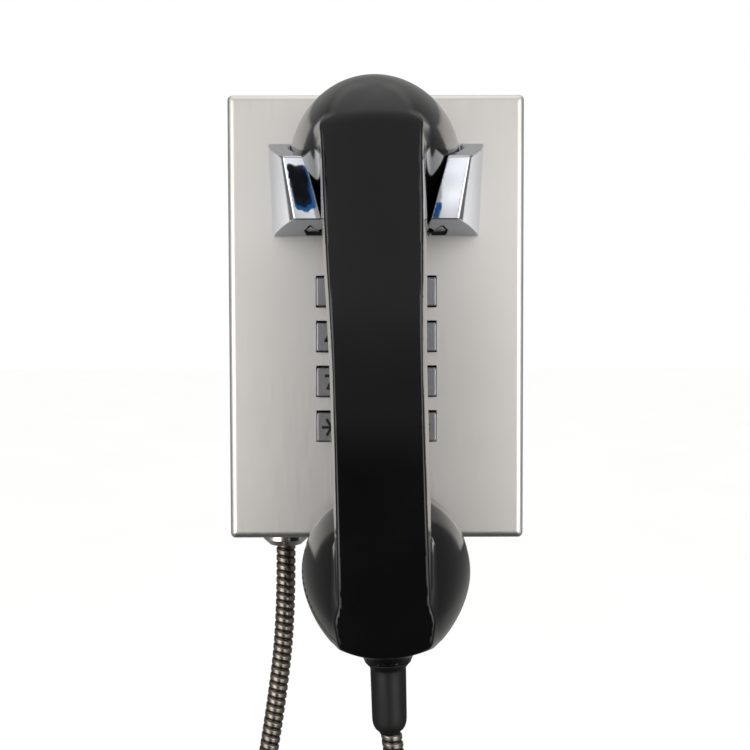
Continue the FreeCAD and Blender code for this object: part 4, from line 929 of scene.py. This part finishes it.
# In millimetres and in the handset's axes, from the collar down.
BOOT_TOP = -192.3
BOOT_BORE = 4.0
BOOT_ROOT = 9.0
FLARE_RADIUS = 9.0
FLARE_START = 0.5
FLARE_LENGTH = 2.7
SLEEVE_RADIUS = 6.95
SLEEVE_WAIST = 0.2
SLEEVE_LENGTH = 19.2
NOSE_RADIUS = 4.5
NOSE_LENGTH = 4.8
LIP_HEIGHTS = (0.4, 1.2)
BOOT_POINTS = 56


def boot_profile():
    """Radii and heights of the boot, from inside the collar over its outside to the nose."""
    flare_top = BOOT_TOP - FLARE_START
    sleeve_top = flare_top - FLARE_LENGTH
    nose_top = sleeve_top - SLEEVE_LENGTH
    nose_end = nose_top - NOSE_LENGTH
    profile = [(BOOT_BORE, BOOT_TOP + BOOT_ROOT), (BOOT_BORE, BOOT_TOP + 0.2),
               (FLARE_RADIUS - 0.2, BOOT_TOP + 0.1), (FLARE_RADIUS, BOOT_TOP - 0.3)]
    for share in np.linspace(0.0, 1.0, 9):
        fall = (FLARE_RADIUS - SLEEVE_RADIUS) * smooth_step(share, -0.3, 1.0)
        profile.append((FLARE_RADIUS - fall, flare_top - FLARE_LENGTH * share))
    for share in np.linspace(0.1, 1.0, 8):
        profile.append((SLEEVE_RADIUS - SLEEVE_WAIST * share, sleeve_top - SLEEVE_LENGTH * share))
    rounding = SLEEVE_RADIUS - SLEEVE_WAIST - NOSE_RADIUS
    for share in np.linspace(0.1, 1.0, 10):
        bend = math.radians(90.0 * share)
        profile.append((NOSE_RADIUS + rounding * math.cos(bend), nose_top - NOSE_LENGTH * math.sin(bend)))
    profile.append((NOSE_RADIUS - 0.2, nose_end - LIP_HEIGHTS[0]))
    profile.append((NOSE_RADIUS - 0.4, nose_end - LIP_HEIGHTS[1]))
    return profile


def make_boot():
    """Rubber boot: a flare against the moulding, a slightly waisted sleeve and a rounded nose."""
    profile = boot_profile()
    count = BOOT_POINTS
    points = turned_points(profile[::-1], count) + np.array((0.0, BOOT_Y, 0.0))
    boot = add_piece("boot_sleeve", handset_to_metres(points), turned_faces(len(profile), count),
                     LOOKS["boot_rubber"])
    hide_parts("cord_boot")
    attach(boot, "handset")


# ---------------------------------------------------------------- key legends

LEGENDS = {"key_1": "1", "key_2": "2", "key_3": "3", "key_4": "4", "key_5": "5", "key_6": "6",
           "key_7": "7", "key_8": "8", "key_9": "9", "key_star": "*", "key_0": "0", "key_hash": "#"}
LEGEND_HEIGHT = 0.0064
LEGEND_WIDTH = 0.0062
LEGEND_THICKNESS = 0.00006
LEGEND_BOLDNESS = 0.025
STROKE_WIDTH = 0.0011
# Signs that are drawn as straight strokes, from one end (x, z) to the other, in millimetres.
STROKES = {
    "*": ((-3.9, 0.0, 3.9, 0.0), (-1.95, -3.38, 1.95, 3.38), (-1.95, 3.38, 1.95, -3.38)),
    "4": ((-2.7, -1.5, 2.7, -1.5), (1.2, -3.2, 1.2, 3.2), (-2.3, -1.4, 1.1, 2.9)),
}


def letter_mesh(text):
    """A digit or sign as a thin plate in the XY plane, centred, of the legend's height."""
    curve = bpy.data.curves.new("letter", "FONT")
    curve.body = text
    curve.extrude = 0.01
    curve.offset = LEGEND_BOLDNESS
    holder = bpy.data.objects.new("letter", curve)
    bpy.context.scene.collection.objects.link(holder)
    mesh = bpy.data.meshes.new_from_object(holder)
    bpy.data.objects.remove(holder)
    points = np.array([vertex.co for vertex in mesh.vertices])
    low, high = points.min(axis=0), points.max(axis=0)
    points -= (low + high) / 2.0
    size = high - low
    points[:, 1] *= LEGEND_HEIGHT / size[1]
    points[:, 0] *= LEGEND_WIDTH * min(1.0, 1.25 * size[0] / size[1]) / size[0]
    points[:, 2] *= LEGEND_THICKNESS / (high[2] - low[2])
    faces = [tuple(face.vertices) for face in mesh.polygons]
    return points, faces


def strokes_mesh(strokes):
    """Straight strokes, each a thin bar between two points in millimetres."""
    points = []
    faces = []
    thin = LEGEND_THICKNESS / 2.0
    for from_x, from_z, to_x, to_z in strokes:
        ends = (np.array((from_x, from_z, 0.0)) * MM, np.array((to_x, to_z, 0.0)) * MM)
        along = (ends[1] - ends[0]) / np.linalg.norm(ends[1] - ends[0])
        across = np.array((-along[1], along[0], 0.0)) * STROKE_WIDTH / 2.0
        start = len(points)
        for lift in (-thin, thin):
            for end, side in ((0, -1), (1, -1), (1, 1), (0, 1)):
                points.append(ends[end] + across * side + np.array((0.0, 0.0, lift)))
        faces.append(tuple(start + corner for corner in (3, 2, 1, 0)))
        faces.append(tuple(start + corner for corner in (4, 5, 6, 7)))
        for corner in range(4):
            beside = (corner + 1) % 4
            faces.append((start + corner, start + beside, start + beside + 4, start + corner + 4))
    return np.array(points), faces


def make_legends():
    """Black filled digits on the front faces of the keys."""
    for key, text in LEGENDS.items():
        low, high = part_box(key)
        points, faces = strokes_mesh(STROKES[text]) if text in STROKES else letter_mesh(text)
        placed = np.stack([points[:, 0], -points[:, 2], points[:, 1]], axis=1)
        flat_middle = np.array(((low.x + high.x) / 2.0, low.y, (low.z + high.z) / 2.0))
        legend = add_piece(key + "_legend", placed + flat_middle, faces, LEGEND_LOOK)
        legend.data.polygons.foreach_set("use_smooth", [False] * len(legend.data.polygons))
        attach(legend, key)


# ---------------------------------------------------------------- studio

def add_node(tree, kind, inputs, **settings):
    """A node with its settings, whose inputs are numbers, vectors or other outputs."""
    node = tree.nodes.new(kind)
    for name, value in settings.items():
        setattr(node, name, value)
    for place, value in inputs.items():
        if isinstance(value, bpy.types.NodeSocket):
            tree.links.new(value, node.inputs[place])
        else:
            node.inputs[place].default_value = value
    return node


def sky_direction(azimuth, elevation):
    """A direction from the telephone: azimuth 0 is towards the viewer, positive to the right."""
    a, e = math.radians(azimuth), math.radians(elevation)
    return (math.sin(a) * math.cos(e), -math.cos(a) * math.cos(e), math.sin(e))


def add_card(tree, below, way, azimuth, elevation, half_width, half_height, soft, colour):
    """A soft-edged rectangle of light or dark in the surroundings."""
    centre = Vector(sky_direction(azimuth, elevation))
    right = Vector((math.cos(math.radians(azimuth)), math.sin(math.radians(azimuth)), 0.0))
    up = right.cross(centre) * -1.0
    factor = None
    parts = ((right, half_width), (up, half_height))
    for axis, half in parts:
        side = add_node(tree, "ShaderNodeVectorMath", {0: way, 1: tuple(axis)}, operation="DOT_PRODUCT")
        size = add_node(tree, "ShaderNodeMath", {0: side.outputs["Value"]}, operation="ABSOLUTE")
        edge = math.sin(math.radians(half))
        blur = math.sin(math.radians(soft))
        inside = add_node(tree, "ShaderNodeMapRange",
                          {"Value": size.outputs[0], "From Min": edge - blur, "From Max": edge + blur,
                           "To Min": 1.0, "To Max": 0.0}, interpolation_type="SMOOTHSTEP")
        if factor is None:
            factor = inside.outputs["Result"]
        else:
            factor = add_node(tree, "ShaderNodeMath", {0: factor, 1: inside.outputs["Result"]},
                              operation="MULTIPLY").outputs[0]
    facing = add_node(tree, "ShaderNodeVectorMath", {0: way, 1: tuple(centre)}, operation="DOT_PRODUCT")
    ahead = add_node(tree, "ShaderNodeMath", {0: facing.outputs["Value"], 1: 0.0},
                     operation="GREATER_THAN")
    factor = add_node(tree, "ShaderNodeMath", {0: factor, 1: ahead.outputs[0]},
                      operation="MULTIPLY").outputs[0]
    mix = add_node(tree, "ShaderNodeMix", {"Factor": factor}, data_type="RGBA")
    tree.links.new(below, mix.inputs["A"])
    mix.inputs["B"].default_value = (*colour, 1.0)
    return mix.outputs["Result"]


# Brightness of the surroundings from straight down (0) to straight up (1).
SKY_TONES = ((0.0, 0.02), (0.2, 0.05), (0.33, 0.6), (0.5, 0.9), (0.8, 0.8), (1.0, 1.1))
# Soft rectangles: azimuth, elevation, half width, half height, softness (degrees) and colour.
SKY_CARDS = (
    (-40.0, -5.0, 19.0, 22.0, 9.0, (2.1, 2.08, 2.04)),
    (40.0, -5.0, 19.0, 22.0, 9.0, (2.1, 2.08, 2.04)),
    (180.0, 0.0, 70.0, 45.0, 12.0, (0.32, 0.32, 0.31)),
    (-108.0, -5.0, 36.0, 50.0, 24.0, (0.18, 0.18, 0.18)),
    (108.0, -5.0, 36.0, 50.0, 24.0, (0.18, 0.18, 0.18)),
    (0.0, 22.0, 22.0, 36.0, 20.0, (0.42, 0.42, 0.43)),
    (0.0, -5.0, 14.0, 6.0, 2.0, (0.22, 0.22, 0.22)),
    (0.0, -43.0, 16.0, 34.0, 1.0, (0.03, 0.03, 0.03)),
)


def make_world():
    """Soft surroundings: bright sides and top, a darker front and a dark floor reflection."""
    world = bpy.data.worlds.new("studio")
    bpy.context.scene.world = world
    world.use_nodes = True
    tree = world.node_tree
    background = tree.nodes["Background"]
    coordinates = tree.nodes.new("ShaderNodeTexCoord")
    way = coordinates.outputs["Generated"]
    parts = add_node(tree, "ShaderNodeSeparateXYZ", {"Vector": way})
    height = add_node(tree, "ShaderNodeMapRange",
                      {"Value": parts.outputs["Z"], "From Min": -1.0, "From Max": 1.0})
    base = tree.nodes.new("ShaderNodeValToRGB")
    base.color_ramp.interpolation = "EASE"
    base.color_ramp.elements.remove(base.color_ramp.elements[1])
    for index, (place, tone) in enumerate(SKY_TONES):
        stop = base.color_ramp.elements[0] if index == 0 else base.color_ramp.elements.new(place)
        stop.position = place
        stop.color = (tone, tone, tone * 0.985, 1.0)
    tree.links.new(height.outputs["Result"], base.inputs["Fac"])
    colour = base.outputs["Color"]
    for card in SKY_CARDS:
        colour = add_card(tree, colour, way, *card)
    path = tree.nodes.new("ShaderNodeLightPath")
    seen = add_node(tree, "ShaderNodeMix", {"Factor": path.outputs["Is Camera Ray"]}, data_type="RGBA")
    tree.links.new(colour, seen.inputs["A"])
    seen.inputs["B"].default_value = (1.0, 1.0, 1.0, 1.0)
    tree.links.new(seen.outputs["Result"], background.inputs["Color"])
    background.inputs["Strength"].default_value = 1.0


def add_area(name, place, aim, size, energy):
    """A square softbox that points at a place."""
    data = bpy.data.lights.new(name, "AREA")
    data.shape = "SQUARE"
    data.size = size
    data.energy = energy
    light = bpy.data.objects.new(name, data)
    bpy.context.scene.collection.objects.link(light)
    way = Vector(aim) - Vector(place)
    light.matrix_world = Matrix.Translation(place) @ way.to_track_quat("-Z", "Y").to_matrix().to_4x4()
    light.visible_camera = False


CARD_SLANT = 0.24


def add_mirror_card(name, x, z, half_width, half_height, depth, colour):
    """A small glowing card that shows only in mirror surfaces, as a slanting uneven blob."""
    count = 36
    angles = np.linspace(0.0, 2.0 * math.pi, count, endpoint=False)
    square = np.maximum(np.abs(np.cos(angles)), np.abs(np.sin(angles))) ** 0.8
    swell = (1.0 + 0.05 * np.sin(3.0 * angles + 0.7) + 0.04 * np.sin(7.0 * angles)) / square
    across = half_width * swell * np.cos(angles)
    up = half_height * swell * np.sin(angles)
    slanted = x + across + math.copysign(CARD_SLANT, x) * up
    points = np.stack([slanted, np.full(count, depth), z + up], axis=1)
    material, tree, shader = new_look(name, (0.0, 0.0, 0.0), 1.0)
    clouds = noise(tree, 60.0, 1.0)
    dim = [channel * 0.5 for channel in colour]
    tree.links.new(two_colours(tree, spread(tree, clouds, 0.0, 1.0), dim, colour),
                   shader.inputs["Emission Color"])
    shader.inputs["Emission Strength"].default_value = 1.0
    card = add_piece(name, points * MM, [tuple(range(count))], material)
    card.visible_camera = False
    card.visible_diffuse = False
    card.visible_shadow = False


# Each card's name, x, z, half width, half height and depth in millimetres, and its colour.
MIRROR_CARDS = (
    ("dark_card", -32.3, 57.0, 3.9, 8.8, -150.0, (0.006, 0.007, 0.012)),
    ("blue_card", -31.7, 56.2, 4.9, 9.9, -151.0, (0.02, 0.14, 0.40)),
    ("pale_card", -40.5, 56.0, 12.5, 22.0, -153.0, (1.4, 1.42, 1.46)),
    ("white_card", 40.5, 56.0, 12.5, 22.0, -153.0, (1.4, 1.42, 1.46)),
    ("blue_corner", 25.4, 46.0, 2.3, 4.0, -152.0, (0.02, 0.14, 0.40)),
)


def make_mirror_cards():
    """What the polished arm fronts show: something dark with blue edges, and something white."""
    for card in MIRROR_CARDS:
        add_mirror_card(*card)


def make_floor():
    """A wide pale floor below the lowest point of the telephone."""
    side = 12.0
    height = cad_low.z - 0.005
    corners = np.array([(-side, -side, height), (side, -side, height), (side, side, height),
                        (-side, side, height)])
    material, tree, shader = new_look("floor_paint", (0.9, 0.9, 0.9), 0.8)
    tone = spread(tree, noise(tree, 3.0), 0.0, 1.0)
    tree.links.new(two_colours(tree, tone, (0.89, 0.89, 0.89), (0.92, 0.92, 0.92)),
                   shader.inputs["Base Color"])
    shader.inputs["Emission Color"].default_value = (1.0, 1.0, 1.0, 1.0)
    shader.inputs["Emission Strength"].default_value = 0.45
    floor = add_piece("floor", corners, [(0, 1, 2, 3)], material)
    floor.visible_glossy = False
    floor.visible_diffuse = False


def make_studio():
    """Surroundings, two softboxes, the floor and the mirror cards."""
    make_world()
    centre = (0.0, -0.05, 0.0)
    add_area("left_softbox", (-0.75, -0.85, -0.1), centre, 0.7, 1.6)
    add_area("right_softbox", (0.75, -0.85, 0.0), centre, 0.7, 1.6)
    make_floor()
    make_mirror_cards()
    bpy.context.scene.view_settings.view_transform = "Standard"
    bpy.context.scene.view_settings.look = "None"


# ---------------------------------------------------------------- build

make_camera()
make_studio()
dress_nodes()
make_cord()
make_boot()
make_handset_shell()
make_cradle()
make_legends()
